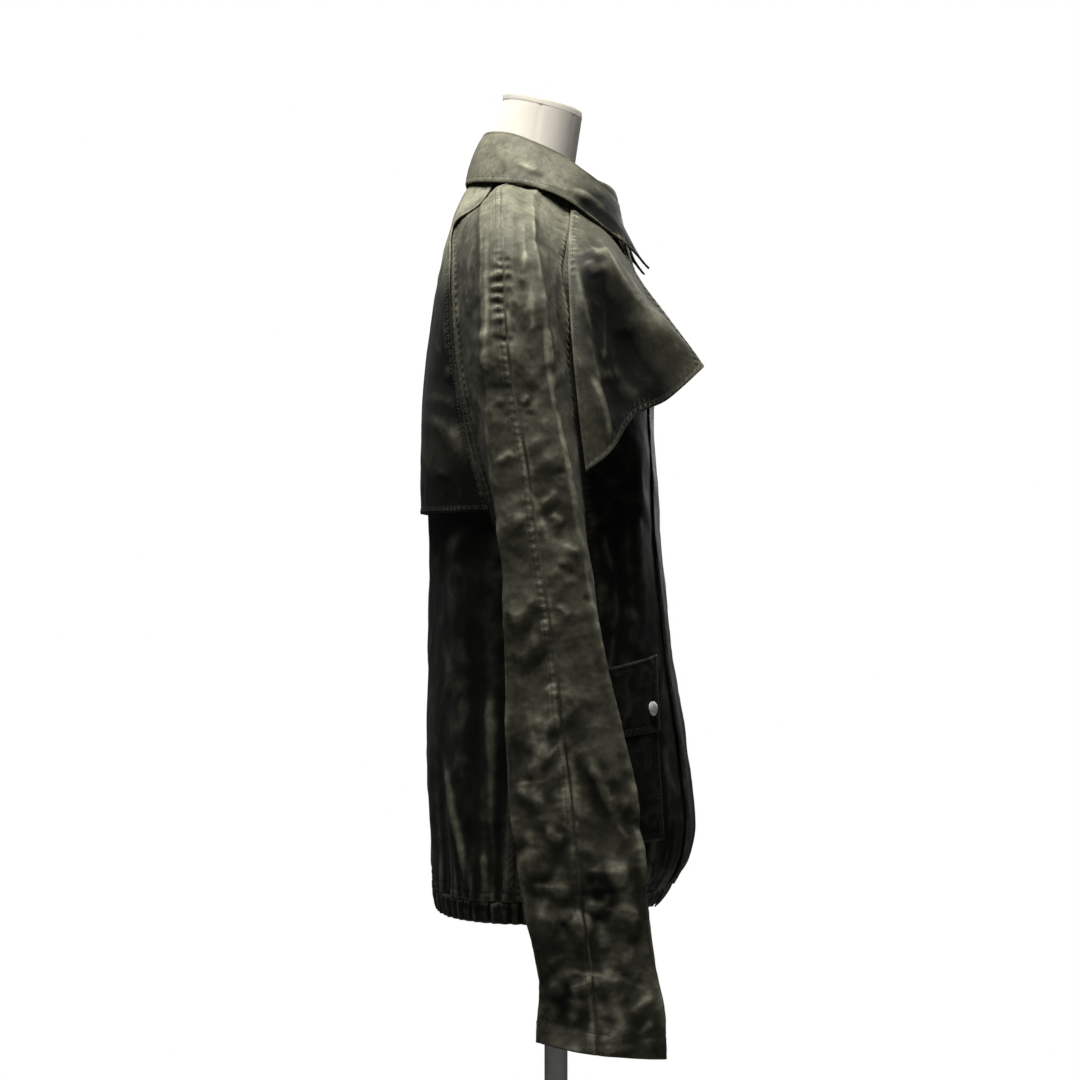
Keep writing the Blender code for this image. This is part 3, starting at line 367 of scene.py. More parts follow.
# The collar, from the back's centre line to its right end: the fold on top, the leaf's lower edge, and
# the neckline seam of the stand.
COLLAR_CROWN = 0.003
COLLAR_HOLLOW = 0.007
COLLAR_END_POWER = 8
STAND_INSET = 0.0018
COLLAR_FOLD = (
    (0.000, 0.0795, 1.4815),
    (0.035, 0.0730, 1.4835),
    (0.062, 0.0500, 1.4790),
    (0.074, 0.0260, 1.4690),
    (0.070, -0.0040, 1.4560),
    (0.056, -0.0240, 1.4440),
    (0.042, -0.0460, 1.4300),
    (0.026, -0.0630, 1.4140),
    (0.016, -0.0685, 1.3990),
)
LEFT_RISE = (0.0, 0.0, 0.0, 0.0, 0.001, 0.005, 0.012, 0.016, 0.012)
COLLAR_EDGE = (
    (0.000, 0.0960, 1.4310),
    (0.055, 0.0880, 1.4290),
    (0.088, 0.0600, 1.4250),
    (0.102, 0.0300, 1.4200),
    (0.104, -0.0040, 1.4080),
    (0.098, -0.0350, 1.3880),
    (0.086, -0.0655, 1.3655),
    (0.076, -0.0850, 1.3500),
    (0.066, -0.0975, 1.3365),
)
COLLAR_SEAM = (
    (0.000, 0.0795, 1.4460),
    (0.040, 0.0700, 1.4420),
    (0.064, 0.0510, 1.4350),
    (0.078, 0.0250, 1.4290),
    (0.079, -0.0040, 1.4240),
    (0.070, -0.0240, 1.4140),
    (0.054, -0.0460, 1.4000),
    (0.032, -0.0600, 1.3880),
    (0.018, -0.0650, 1.3800),
)

# The patch pockets and their flaps, by their stations down the front and their depths.
POCKET_TOP = 10.05
POCKET_BOTTOM = 13.10
POCKET_FRONT_Y = (-0.0990, -0.1080)
POCKET_BACK_Y = (0.0280, 0.0280)
POCKET_LIFT = 0.0024
POCKET_FLAP_TOP = 9.82
POCKET_FLAP_BOTTOM = 11.05
SNAP_STATION = 10.65
SNAP_Y = (-0.0925, -0.0825)
SNAP_SEAT = 0.0009
# The snap's cap, from its edge on the cloth to its middle: radius and height.
SNAP_PROFILE = (
    (0.0064, -0.0002), (0.0073, 0.0003), (0.0075, 0.0008), (0.0073, 0.0013), (0.0066, 0.0016),
    (0.0063, 0.0017), (0.0058, 0.0024), (0.0046, 0.0030), (0.0030, 0.0033), (0.0014, 0.0034),
)

# The gathered casing at the hem.
HEM_TUCK = 0.12
HEM_INSET_DEPTH = 0.0028
HEM_LIFT = 0.0032
BACK_GATHERS = 28
FRONT_GATHERS = 22
GATHER_DEPTH = 0.0016
GATHER_UNEVENNESS = 0.38
GATHER_PACE = 1.7
GATHER_RUN = 0.045
FLAT_GATHERS_X = 0.068
FLAT_GATHERS_SHARE = 0.15

# The dress form, from the neck's top to the torso's flat underside.
# z at the widest depth, slope towards the back, half width, front y, widest y, back y, front power
FORM_SECTIONS = (
    (1.5140, 0.237, 0.0455, -0.0280, 0.0162, 0.0574, 2.1),
    (1.4850, 0.220, 0.0460, -0.0235, 0.0210, 0.0640, 2.1),
    (1.4550, 0.200, 0.0480, -0.0190, 0.0260, 0.0700, 2.1),
    (1.4320, 0.200, 0.0540, -0.0180, 0.0300, 0.0740, 2.1),
    (1.4140, 0.220, 0.0720, -0.0210, 0.0360, 0.0780, 2.0),
    (1.3980, 0.160, 0.1080, -0.0290, 0.0420, 0.0850, 1.9),
    (1.3800, 0.080, 0.1495, -0.0385, 0.0450, 0.0920, 1.8),
    (1.3500, 0.000, 0.1835, -0.0515, 0.0460, 0.1000, 1.8),
    (1.3050, 0.000, 0.1900, -0.0640, 0.0440, 0.1080, 1.8),
    (1.2500, 0.000, 0.1860, -0.0780, 0.0360, 0.1160, 1.9),
    (1.1800, 0.000, 0.1780, -0.0880, 0.0260, 0.1210, 2.0),
    (1.1000, 0.000, 0.1660, -0.0840, 0.0180, 0.1160, 2.1),
    (1.0300, 0.000, 0.1600, -0.0800, 0.0160, 0.1100, 2.1),
    (0.9600, 0.000, 0.1660, -0.0840, 0.0160, 0.1120, 2.1),
    (0.8900, 0.000, 0.1760, -0.0880, 0.0160, 0.1160, 2.1),
    (0.8200, 0.000, 0.1790, -0.0860, 0.0160, 0.1150, 2.1),
    (0.7500, 0.000, 0.1720, -0.0780, 0.0160, 0.1080, 2.1),
    (0.7250, 0.000, 0.1650, -0.0720, 0.0160, 0.1020, 2.1),
)
FORM_BACK_POWER = 2.2
# The neck cap: rise over the neck's top, and inset from its edge.
NECK_CAP_PROFILE = (
    (0.0003, 0.0), (0.0050, -0.0001), (0.0080, 0.0003), (0.0093, 0.0014), (0.0100, 0.0034),
    (0.0110, 0.0090), (0.0122, 0.0170), (0.0133, 0.0280), (0.0136, 0.0380),
)
POLE_RADIUS = 0.0125
BASE_HEIGHT = 0.034
BASE_PROFILE = (
    (0.0, 0.0340), (0.0195, 0.0340), (0.0212, 0.0336), (0.0232, 0.0322), (0.0242, 0.0308),
    (0.0262, 0.0240), (0.0288, 0.0196), (0.0350, 0.0176), (0.0600, 0.0155), (0.1200, 0.0132),
    (0.1720, 0.0113), (0.1790, 0.0102), (0.1832, 0.0078), (0.1848, 0.0045), (0.1850, 0.0020),
    (0.1838, 0.0004), (0.1820, 0.0), (0.0, 0.0),
)


# ---------------------------------------------------------------- settings

class CoatSizes(PropertyGroup):
    """Sizes of the coat's cloth and sewing."""
    wall: FloatProperty(
        name="Cloth", description="Thickness of the cloth with its turnings",
        default=0.0012, min=0.0005, max=0.003, unit="LENGTH")
    creases: FloatProperty(
        name="Creases", description="Height of all the creases, as a share of the usual one",
        default=1.0, min=0.0, max=2.0, subtype="FACTOR")
    crumple: FloatProperty(
        name="Crumple", description="Height of the small crumples, as a share of the usual one",
        default=1.0, min=0.0, max=2.0, subtype="FACTOR")
    puckers: FloatProperty(
        name="Puckers", description="Height of the puckers along the seams",
        default=0.0008, min=0.0, max=0.003, unit="LENGTH")
    stitch: FloatProperty(
        name="Stitch", description="Length of one stitch", default=0.0029, min=0.001, max=0.01,
        unit="LENGTH")
    stitch_gap: FloatProperty(
        name="Stitch gap", description="Cloth between two stitches", default=0.0011, min=0.0003,
        max=0.01, unit="LENGTH")
    thread: FloatProperty(
        name="Thread", description="Thickness of the sewing thread", default=0.0006, min=0.0002,
        max=0.002, unit="LENGTH")


class CoatColours(PropertyGroup):
    """Colours of the cloth, the thread, the form and the metal."""
    # The dark end of the cloth's colour: where the wax lies thick, and where shade is painted.
    oiled_and_shaded: FloatVectorProperty(
        name="Oiled cloth", description="Where the wax lies thick", default=(0.0062, 0.0066, 0.0050),
        min=0.0, max=1.0, subtype="COLOR")
    # The light end of the cloth's colour: where the wax has thinned, and where light is painted.
    faded_and_lit: FloatVectorProperty(
        name="Faded cloth", description="Where the wax has thinned", default=(0.080, 0.078, 0.055),
        min=0.0, max=1.0, subtype="COLOR")
    # The pale colour of rubbed crease lines and edges, and of painted highlights.
    worn_and_highlit: FloatVectorProperty(
        name="Worn edges", description="Crease lines and edges", default=(0.270, 0.260, 0.185),
        min=0.0, max=1.0, subtype="COLOR")
    thread: FloatVectorProperty(
        name="Thread", description="Sewing thread", default=(0.026, 0.025, 0.017),
        min=0.0, max=1.0, subtype="COLOR")
    jersey: FloatVectorProperty(
        name="Jersey", description="The dress form's cover", default=(0.67, 0.62, 0.53),
        min=0.0, max=1.0, subtype="COLOR")
    nickel: FloatVectorProperty(
        name="Nickel", description="The snaps", default=(0.85, 0.83, 0.79),
        min=0.0, max=1.0, subtype="COLOR")
    steel: FloatVectorProperty(
        name="Steel", description="The stand", default=(0.52, 0.52, 0.51),
        min=0.0, max=1.0, subtype="COLOR")


class StudioSettings(PropertyGroup):
    """The floor and the light."""
    floor: FloatVectorProperty(
        name="Floor", description="Colour of the floor", default=(0.42, 0.42, 0.41),
        min=0.0, max=1.0, subtype="COLOR")
    overhead: FloatProperty(
        name="Overhead light", description="Power of the softbox over the coat", default=68.0,
        min=0.0, unit="POWER")
    fill: FloatProperty(
        name="Fill light", description="Power of the light in front of the camera's side",
        default=1.5, min=0.0, unit="POWER")
    far_side: FloatProperty(
        name="Far side light", description="Power of the light on the side away from the camera",
        default=30.0, min=0.0, unit="POWER")
    ambient: FloatProperty(
        name="Ambient", description="Strength of the light from all round", default=0.03, min=0.0,
        max=2.0)


class TrenchCoatSettings(PropertyGroup):
    """All settings of the trench coat."""
    sizes: PointerProperty(type=CoatSizes)
    colours: PointerProperty(type=CoatColours)
    studio: PointerProperty(type=StudioSettings)


# ---------------------------------------------------------------- curves and surfaces

def through(table, at):
    """A smooth curve through the table's rows, read at the stations given: a cubic in each span, whose
    slope at a row is that of the line between the rows beside it."""
    knots = table[:, 0]
    keys = table[:, 1:]
    slopes = np.empty_like(keys)
    slopes[1:-1] = (keys[2:] - keys[:-2]) / (knots[2:] - knots[:-2])[:, None]
    slopes[0] = (keys[1] - keys[0]) / (knots[1] - knots[0])
    slopes[-1] = (keys[-1] - keys[-2]) / (knots[-1] - knots[-2])
    at = np.atleast_1d(np.asarray(at, float))
    span = np.clip(np.searchsorted(knots, at, side="right") - 1, 0, len(knots) - 2)
    width = (knots[span + 1] - knots[span])[:, None]
    t = (at[:, None] - knots[span][:, None]) / width
    return cubic(keys[span], slopes[span], keys[span + 1], slopes[span + 1], width, t)


def cubic(start, start_slope, end, end_slope, width, t):
    """Hermite's cubic: at share t of a span, from its two ends and their slopes."""
    first = (2 * t**3 - 3 * t**2 + 1) * start + (t**3 - 2 * t**2 + t) * width * start_slope
    second = (3 * t**2 - 2 * t**3) * end + (t**3 - t**2) * width * end_slope
    return first + second


def body_points(stations, turn):
    """Points on the body's sections. turn is 0 at the back's centre line, pi/2 at the side and pi at the
    front's centre line. Each half of a section is a superellipse, |x/a|^p + |y/b|^p = 1, and its height
    goes from the side's to the back's or front's with the squared cosine of the turn."""
    half, front_y, front_z, side_z, back_y, back_z, square = through(BODY_SECTIONS, stations).T[:, :, None]
    turn = np.broadcast_to(turn, (len(np.atleast_1d(stations)), np.shape(turn)[-1]))
    cosine = np.cos(turn)
    behind = cosine >= 0
    power = np.where(behind, square, FRONT_POWER)
    depth = np.where(behind, back_y - AXIS_Y, AXIS_Y - front_y)
    share = np.abs(cosine) ** (2 / power)
    x = half * np.sign(np.sin(turn)) * np.abs(np.sin(turn)) ** (2 / power)
    y = AXIS_Y + np.sign(cosine) * depth * share
    z = side_z + (np.where(behind, back_z, front_z) - side_z) * cosine**2
    return np.stack((x, y, z), axis=-1)


def turn_at(stations, y):
    """The turn at which each section has the depth y."""
    _, front_y, _, _, back_y, _, square = through(BODY_SECTIONS, stations).T
    behind = y >= AXIS_Y
    power = np.where(behind, square, FRONT_POWER)
    depth = np.where(behind, back_y - AXIS_Y, AXIS_Y - front_y)
    cosine = np.clip(np.abs(y - AXIS_Y) / depth, 0, 1) ** (power / 2)
    return np.arccos(np.where(behind, cosine, -cosine))


def seam_turns(stations):
    """(back, front): the turns of the back and of the front seam on each section."""
    back_y, front_y = through(SEAMS, stations).T
    return turn_at(stations, back_y), turn_at(stations, front_y)


def along(keys, steps):
    """A smooth curve through each row's key points, with the given number of steps in each span. The
    knots of a row stand apart by the square root of the distance between its points."""
    chord = np.sqrt(np.linalg.norm(np.diff(keys, axis=1), axis=2)) + TINY
    knots = np.concatenate((np.zeros((len(keys), 1)), np.cumsum(chord, axis=1)), axis=1)
    slopes = np.empty_like(keys)
    slopes[:, 1:-1] = (keys[:, 2:] - keys[:, :-2]) / (knots[:, 2:] - knots[:, :-2])[..., None]
    slopes[:, 0] = (keys[:, 1] - keys[:, 0]) / chord[:, :1]
    slopes[:, -1] = (keys[:, -1] - keys[:, -2]) / chord[:, -1:]
    spans = np.repeat(np.arange(len(steps)), steps)
    shares = np.concatenate([np.arange(n) / n for n in steps])
    spans = np.append(spans, len(steps) - 1)
    t = np.append(shares, 1.0)[None, :, None]
    width = chord[:, spans, None]
    return cubic(keys[:, spans], slopes[:, spans], keys[:, spans + 1], slopes[:, spans + 1], width, t)


def sleeve_keys(stations):
    """Key points round the sleeve: back seam, back fold, overarm, front fold, front seam. Below the
    underarm the first and the last are one point."""
    over, back, front = np.split(through(SLEEVE_SECTIONS, stations), 3, axis=1)
    upper = np.minimum(stations, UNDERARM_STATION)
    back_turn, front_turn = seam_turns(upper)
    back_seam = body_points(upper, back_turn[:, None])[:, 0]
    front_seam = body_points(upper, front_turn[:, None])[:, 0]
    armpit = front_seam[-1]
    under = through(np.vstack((np.append(UNDERARM_STATION, armpit), UNDERARM)), stations)
    below = (stations > UNDERARM_STATION)[:, None]
    back_seam = np.where(below, under, back_seam)
    front_seam = np.where(below, under, front_seam)
    return np.stack((back_seam, back, over, front, front_seam), axis=1)


def unit(vectors):
    return vectors / np.maximum(np.linalg.norm(vectors, axis=-1, keepdims=True), TINY)


def normals_of(grid):
    """Unit normals of a grid, outwards: its step across by its step down."""
    return unit(np.cross(np.gradient(grid, axis=1), np.gradient(grid, axis=0)))


def distances(grid):
    """(across, down): how far each point lies along its row and down its column."""
    across = np.zeros(grid.shape[:2])
    down = np.zeros(grid.shape[:2])
    across[:, 1:] = np.cumsum(np.linalg.norm(np.diff(grid, axis=1), axis=2), axis=1)
    down[1:] = np.cumsum(np.linalg.norm(np.diff(grid, axis=0), axis=2), axis=0)
    return across, down


def smooth(share):
    """0 below 0, 1 above 1, and 3t^2 - 2t^3 between."""
    t = np.clip(share, 0, 1)
    return t * t * (3 - 2 * t)


def facing(grid, normals, gain=2.2, start=0.4):
    """How much of the side's creases each point takes: none where the cloth turns away from the side."""
    outwards = normals[..., 0] * np.sign(grid[..., 0])
    return np.clip(outwards * gain - start, 0, 1)


def folded(grid, folds):
    """The grid with each large fold raised or sunk along its line: a bell across the line, on the side
    of the piece that faces outwards, and nothing at its first and last columns."""
    normals = normals_of(grid)
    rise = np.zeros(grid.shape[:2])
    for y0, z0, y1, z1, width, height in folds:
        line = np.array((y1 - y0, z1 - z0))
        offset = grid[..., 1:] - (y0, z0)
        share = np.clip(offset @ line / (line @ line), 0, 1)
        distance = np.linalg.norm(offset - share[..., None] * line, axis=-1)
        rise += height * np.exp(-(distance / width) ** 2)
    steps = grid.shape[1] - 1
    edge = smooth(np.minimum(np.arange(steps + 1), np.arange(steps, -1, -1)) / (0.06 * steps))
    return grid + normals * (rise * edge * facing(grid, normals, FACING_GAIN, FACING_START))[..., None]


# ---------------------------------------------------------------- relief of the cloth

# The straight lines that stand for a crease's parabola.
CREASE_STEPS = 12


def crease(p, q, row):
    """The height of one crease at the plane points p, q. The crease's line is a parabola through its
    first, middle and last point. Across it the height falls from a rounded crest to 0, in each slope's
    own width, and along it the height rises from 0 and falls to 0 again."""
    p0, q0, p1, q1, p2, q2, rise, left, right = (MM * value for value in row)
    reach = max(left, right)
    height = np.zeros(p.shape)
    near = (p > min(p0, p1, p2) - reach) & (p < max(p0, p1, p2) + reach)
    near &= (q > min(q0, q1, q2) - reach) & (q < max(q0, q1, q2) + reach)
    if not near.any():
        return height
    t = np.linspace(0, 1, CREASE_STEPS + 1)[:, None]
    curve = 2 * (t - 0.5) * (t - 1) * (p0, q0) + 4 * t * (1 - t) * (p1, q1) + 2 * t * (t - 0.5) * (p2, q2)
    line = np.diff(curve, axis=0)
    offset = np.stack((p[near], q[near]), -1)[:, None] - curve[:-1]
    share = np.clip((offset * line).sum(-1) / ((line * line).sum(-1) + TINY), 0, 1)
    gap = offset - share[..., None] * line
    distance = np.linalg.norm(gap, axis=-1)
    best = distance.argmin(axis=1)
    pick = np.arange(len(best))
    turned = line[best, 0] * offset[pick, best, 1] - line[best, 1] * offset[pick, best, 0]
    u = distance[pick, best] / np.where(turned > 0, left, right)
    along_line = (best + share[pick, best]) / len(line)
    height[near] = rise * tent(u) * smooth(np.minimum(along_line, 1 - along_line) / 0.3)
    return height


def tent(u, rounding=0.10):
    """1 at 0, falling to 0 at 1: a hyperbola whose tip is rounded and whose foot runs out softly."""
    top = math.hypot(1, rounding)
    return np.clip((top - np.hypot(u, rounding)) / (top - rounding), 0, 1) ** 1.25


def creases(grid, normals, rows, seed=None):
    """The height of all the rows' creases, seen from the side. With a seed every crease is moved, turned
    and scaled a little, as on the sleeve that this one is a pair with."""
    rows = np.array(rows, float)
    if seed is not None:
        rng = np.random.default_rng(seed)
        middle = rows[:, 2:4].copy()
        angle = rng.uniform(-0.5, 0.5, len(rows))[:, None]
        move = rng.uniform(-14, 14, (len(rows), 2))
        for column in (0, 2, 4):
            offset = rows[:, column:column + 2] - middle
            turned = np.column_stack((-offset[:, 1], offset[:, 0]))
            rows[:, column:column + 2] = middle + move + np.cos(angle) * offset + np.sin(angle) * turned
        rows[:, 6] *= rng.uniform(0.6, 1.15, len(rows))
    return from_side(grid, rows) * facing(grid, normals)


def from_side(grid, rows):
    """The sum of the rows' creases on the plane of y and z."""
    height = np.zeros(grid.shape[:2])
    for row in rows:
        height += crease(grid[..., 1], grid[..., 2], row)
    return height


def on_both_sides(grid, normals, rows, seed):
    """The rows' creases on the right half of a piece and a similar set on its left half."""
    left = creases(grid, normals, rows, seed)
    return creases(grid, normals, rows) * (grid[..., 0] < 0) + left * (grid[..., 0] > 0)


def scattered(grid, seed, density, length, rise, width, level=0.0):
    """The height of short creases strewn over the piece, so many to a square metre, with lengths, rises
    and widths between the pairs given, in millimetres. level is their usual turn from the vertical."""
    across, down = distances(grid)
    rng = np.random.default_rng(seed)
    count = int(density * across[:, -1].mean() * down[-1].mean())
    height = np.zeros(grid.shape[:2])
    for _ in range(count):
        centre = rng.uniform(0, across.max() / MM), rng.uniform(0, down.max() / MM)
        angle = rng.normal(level, 0.55)
        half = rng.uniform(*length) / 2
        step = half * math.sin(angle), half * math.cos(angle)
        bend = rng.uniform(-0.25, 0.25)
        middle = centre[0] - bend * step[1], centre[1] + bend * step[0]
        high = rng.uniform(*rise) * rng.choice((-1, 1))
        slopes = rng.uniform(*width, 2)
        height += crease(across, down, (
            centre[0] - step[0], centre[1] - step[1], *middle, centre[0] + step[0], centre[1] + step[1],
            high, *slopes))
    return height


def waves(points, seed, shortest, longest, stretch=(1, 1, 1), count=26):
    """An uneven field: a sum of plane waves in seeded directions, whose lengths lie between the two
    given and are longer along the stretched axes. It is mostly between -1 and 1."""
    rng = np.random.default_rng(seed)
    heading = unit(rng.normal(size=(count, 3)))
    size = np.exp(rng.uniform(math.log(shortest), math.log(longest), count))
    wave = heading * (2 * math.pi / size)[:, None] / stretch
    phase = rng.uniform(0, 2 * math.pi, count)
    return np.cos(points @ wave.T + phase).sum(-1) / math.sqrt(count)


def crumpled(points, seed, shortest, longest, stretch=(1, 1, 1)):
    """Sharp ridges with soft hollows between them: 1 less the size of an uneven field, about its mean."""
    warp = waves(points, seed + 1, 0.03, 0.08) * 0.004
    return 0.5 - np.abs(waves(points + warp[..., None], seed, shortest, longest, stretch))


def folds(points, seed, shortest, longest, count=12):
    """Straight sharp folds in patches: a sum of tent-shaped waves in seeded directions, as high as they
    are long, each of them only where an uneven field of its own is above 0; less its mean."""
    rng = np.random.default_rng(seed)
    warp = waves(points, seed + 1, 0.07, 0.2, count=10) * 0.004
    height = np.zeros(points.shape[:-1])
    for turn in range(count):
        size = math.exp(rng.uniform(math.log(shortest), math.log(longest)))
        phase = (points @ unit(rng.normal(size=3)) + warp) / size + rng.uniform()
        away = np.abs(phase - np.round(phase)) * 2
        mask = np.clip(waves(points, seed + 11 + turn, 0.05, 0.13, count=10), 0, 1.5)
        height += mask * (1 - np.hypot(away, 0.05)) * size
    return height - height.mean()


def painted_shade_and_sheen(grid, rows):
    """The painted shade at each point, below 0 where an oval paints sheen: soft ovals, seen from the side."""
    total = np.zeros(grid.shape[:2])
    for y, z, wide, high, much in rows:
        oval = ((grid[..., 1] / MM - y) / wide) ** 2 + ((grid[..., 2] / MM - z) / high) ** 2
        total += much * np.exp(-oval)
    return total


def rubbed(height):
    """How far lines of that height, each up to a millimetre, are rubbed pale: 0 to 1."""
    return np.clip(height / MM, 0, 1)


def hollows(rise):
    """How deep each point lies below the relief around it, 0 to 1."""
    return np.clip((blurred(rise, RELIEF_REACH) - rise) / HOLLOW_DEPTH, 0, 1)


def puckers(distance, run, seed, height, pitch=0.008, reach=0.004):
    """Small bumps one after another along a seam, uneven, highest close to it."""
    rng = np.random.default_rng(seed)
    phase = rng.uniform(0, 6, 4)
    sway = run / pitch * 2 * math.pi + 1.6 * np.sin(run / 0.037 + phase[0])
    sway = sway + 1.1 * np.sin(run / 0.013 + phase[1])
    strength = 0.65 + 0.35 * np.sin(run / 0.045 + phase[2]) * np.sin(run / 0.021 + phase[3])
    away = distance / reach
    return height * strength * np.sin(sway) * away * np.exp((1 - away**2) / 2)


# A felled seam's turning: its thickness, its width and how far off its second row of stitches is. A hem's
# extra thickness.
TURNING = 0.0006
TURNING_WIDTH = 0.0085
SECOND_ROW = 0.0075
HEM_THICKNESS = 0.0005


def groove(distance, depth, width):
    """The height across a groove: a bell curve of that depth and half width."""
    return -depth * np.exp(-((distance / width) ** 2))


def seam(distance, run, seed, height, lapped=True):
    """A felled seam seen from the outside: a fine groove on the seam line, puckers beside it and, on the
    lapped side, the thickness of the turning with a groove at its second row of stitches."""
    rise = groove(distance, 0.0007, 0.0016) + puckers(distance, run, seed, height)
    if lapped:
        starts = smooth((distance - 0.0004) / 0.0016)
        rise += TURNING * starts * (1 - smooth((distance - TURNING_WIDTH) / 0.002))
        rise += groove(distance - SECOND_ROW, 0.0003, 0.0011)
    return rise


def hem_band(distance, depth, run, seed, height=0.0004):
    """A turned hem: twice the thickness to its depth from the edge, a groove at its stitches and a
    slight sway between them."""
    rise = HEM_THICKNESS * (1 - smooth((distance - depth) / 0.0016))
    rise += groove(distance - depth, 0.0006, 0.0012)
    return rise + puckers(np.abs(distance - depth), run, seed, height, 0.0075, 0.0022)


def blurred(field, reach):
    """The field's mean over a square of so many cells each way."""
    for axis in (0, 1):
        padded = np.pad(field, [(reach + 1, reach) if a == axis else (0, 0) for a in (0, 1)], mode="edge")
        total = np.cumsum(padded, axis=axis)
        size = field.shape[axis]
        ahead = np.take(total, np.arange(size) + 2 * reach + 1, axis=axis)
        field = (ahead - np.take(total, np.arange(size), axis=axis)) / (2 * reach + 1)
    return field


def lowest_around(field, step):
    """The field's lowest value within a step of every step-th point."""
    padded = np.pad(field, step, mode="edge")
    windows = np.lib.stride_tricks.sliding_window_view(padded, (2 * step + 1, 2 * step + 1))
    return windows[::step, ::step].min(axis=(2, 3))


# ---------------------------------------------------------------- meshes

def new_mesh(name, points, quads=(), triangles=()):
    """A smooth mesh object from arrays of points, quads and triangles."""
    quads = np.asarray(quads, np.int32).reshape(-1, 4)
    triangles = np.asarray(triangles, np.int32).reshape(-1, 3)
    corners = np.concatenate((quads.ravel(), triangles.ravel()))
    sizes = np.repeat((4, 3), (len(quads), len(triangles)))
    mesh = bpy.data.meshes.new(name)
    mesh.vertices.add(len(points))
    mesh.vertices.foreach_set("co", np.asarray(points, np.float32).ravel())
    mesh.loops.add(len(corners))
    mesh.loops.foreach_set("vertex_index", corners)
    mesh.polygons.add(len(sizes))
    mesh.polygons.foreach_set("loop_start", (np.cumsum(sizes) - sizes).astype(np.int32))
    mesh.update(calc_edges=True)
    mesh.validate()
    mesh.shade_smooth()
    made = bpy.data.objects.new(name, mesh)
    bpy.context.scene.collection.objects.link(made)
    return made


def paint(made, name, values):
    """A value for each point, which the material reads by its name."""
    layer = made.data.attributes.new(name, "FLOAT", "POINT")
    layer.data.foreach_set("value", np.asarray(values, np.float32).ravel())


def lay_out(made, uv):
    """The piece's UV map, in metres along the cloth."""
    corners = np.empty(len(made.data.loops), np.int32)
    made.data.loops.foreach_get("vertex_index", corners)
    layer = made.data.uv_layers.new(name="cloth")
    layer.data.foreach_set("uv", np.asarray(uv, np.float32)[corners].ravel())


def ring(index):
    """A grid's outline, once round."""
    return np.concatenate((index[0], index[1:, -1], index[-1, -2::-1], index[-2:0:-1, 0]))


def squares(index):
    """The quads of a grid of indices, outwards."""
    return np.stack((index[:-1, :-1], index[:-1, 1:], index[1:, 1:], index[1:, :-1]), -1).reshape(-1, 4)


def shell(name, grid, normals, rise, wall, step):
    """(object, mesh values from a grid of values): a closed shell with a rounded rim. Its outside is the
    grid moved out along the normals by the rise. Its inside has every step-th point only, and lies a
    wall's thickness under the lowest of the outside around it, so that it never comes through."""
    outer = grid + normals * (rise + wall / 2)[..., None]
    inner = grid[::step, ::step] + normals[::step, ::step] * (lowest_around(rise, step) - wall / 2)[..., None]
    rows, columns = grid.shape[:2]
    index = np.arange(rows * columns).reshape(rows, columns)
    outline = ring(index)
    away = np.zeros_like(grid)
    away[0] += grid[0] - grid[1]
    away[-1] += grid[-1] - grid[-2]
    away[:, 0] += grid[:, 0] - grid[:, 1]
    away[:, -1] += grid[:, -1] - grid[:, -2]
    flat_outer = outer.reshape(-1, 3)
    rim = flat_outer[outline] - normals.reshape(-1, 3)[outline] * wall / 2
    rim += unit(away.reshape(-1, 3)[outline]) * wall * 0.35
    points = np.concatenate((flat_outer, rim, inner.reshape(-1, 3)))
    first_rim = rows * columns
    first_inner = first_rim + len(outline)
    inner_index = first_inner + np.arange(inner.shape[0] * inner.shape[1]).reshape(inner.shape[:2])
    middle = first_rim + np.arange(len(outline))
    after = np.roll(outline, -1), np.roll(middle, -1)
    quads = np.concatenate((
        squares(index),
        squares(inner_index)[:, ::-1],
        np.stack((after[0], outline, middle, after[1]), -1),
    ))
    deep = ring(inner_index)
    near = np.stack((after[1], middle), -1).reshape(len(deep), step, 2)
    half = step // 2
    first = np.concatenate((near[:, :half].reshape(-1, 2), np.repeat(deep, half)[:, None]), 1)
    deep_after = np.roll(deep, -1)
    second = np.concatenate((near[:, half:].reshape(-1, 2), np.repeat(deep_after, step - half)[:, None]), 1)
    bridge = np.stack((middle.reshape(-1, step)[:, half], deep, deep_after), -1)
    made = new_mesh(name, points, quads, np.concatenate((first, second, bridge)))

    def spread(values):
        """The values at the outside's points, the rim's and the inside's."""
        flat = values.reshape(-1, *values.shape[2:])
        return np.concatenate((flat, flat[outline], values[::step, ::step].reshape(-1, *values.shape[2:])))

    return made, spread


def capped(name, rings):
    """A closed solid through rings of points, with a fan at each end."""
    count, sides = rings.shape[:2]
    index = np.arange(count * sides).reshape(count, sides)
    after = np.roll(index, -1, axis=1)
    quads = np.stack((index[:-1], after[:-1], after[1:], index[1:]), -1).reshape(-1, 4)
    first, last = count * sides, count * sides + 1
    fans = np.concatenate((
        np.stack((np.full(sides, first), after[0], index[0]), -1),
        np.stack((np.full(sides, last), index[-1], after[-1]), -1),
    ))
    middle = np.stack((rings[0].mean(axis=0), rings[-1].mean(axis=0)))
    return new_mesh(name, np.concatenate((rings.reshape(-1, 3), middle)), quads, fans)


def fitted(made, material, slot, *nodes):
    """Gives an object its material and its body, and hides the solids that it replaces. slot is not used."""
    made.data.materials.append(material)
    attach(made, BODY)
    if nodes:
        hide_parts(*nodes)


# Wear follows the relief and the edges, and painted shade fills the hollows: how many cells each way the
# relief around a point reaches, the height of a crest that is rubbed pale, how pale it gets, the depth of a
# hollow that takes the full painted shade, how dark that painted shade is, and how far in from an edge the
# cloth is rubbed.
RELIEF_REACH = 4
CREST_HEIGHT = 0.0009
CREST_RUB = 0.9
HOLLOW_DEPTH = 0.0007
HOLLOW_SHADE = 0.12
EDGE_RUB = 0.0025

# The finished outsides of the cloth pieces, for their stitches: piece -> (points, normals).
SEWN = {}


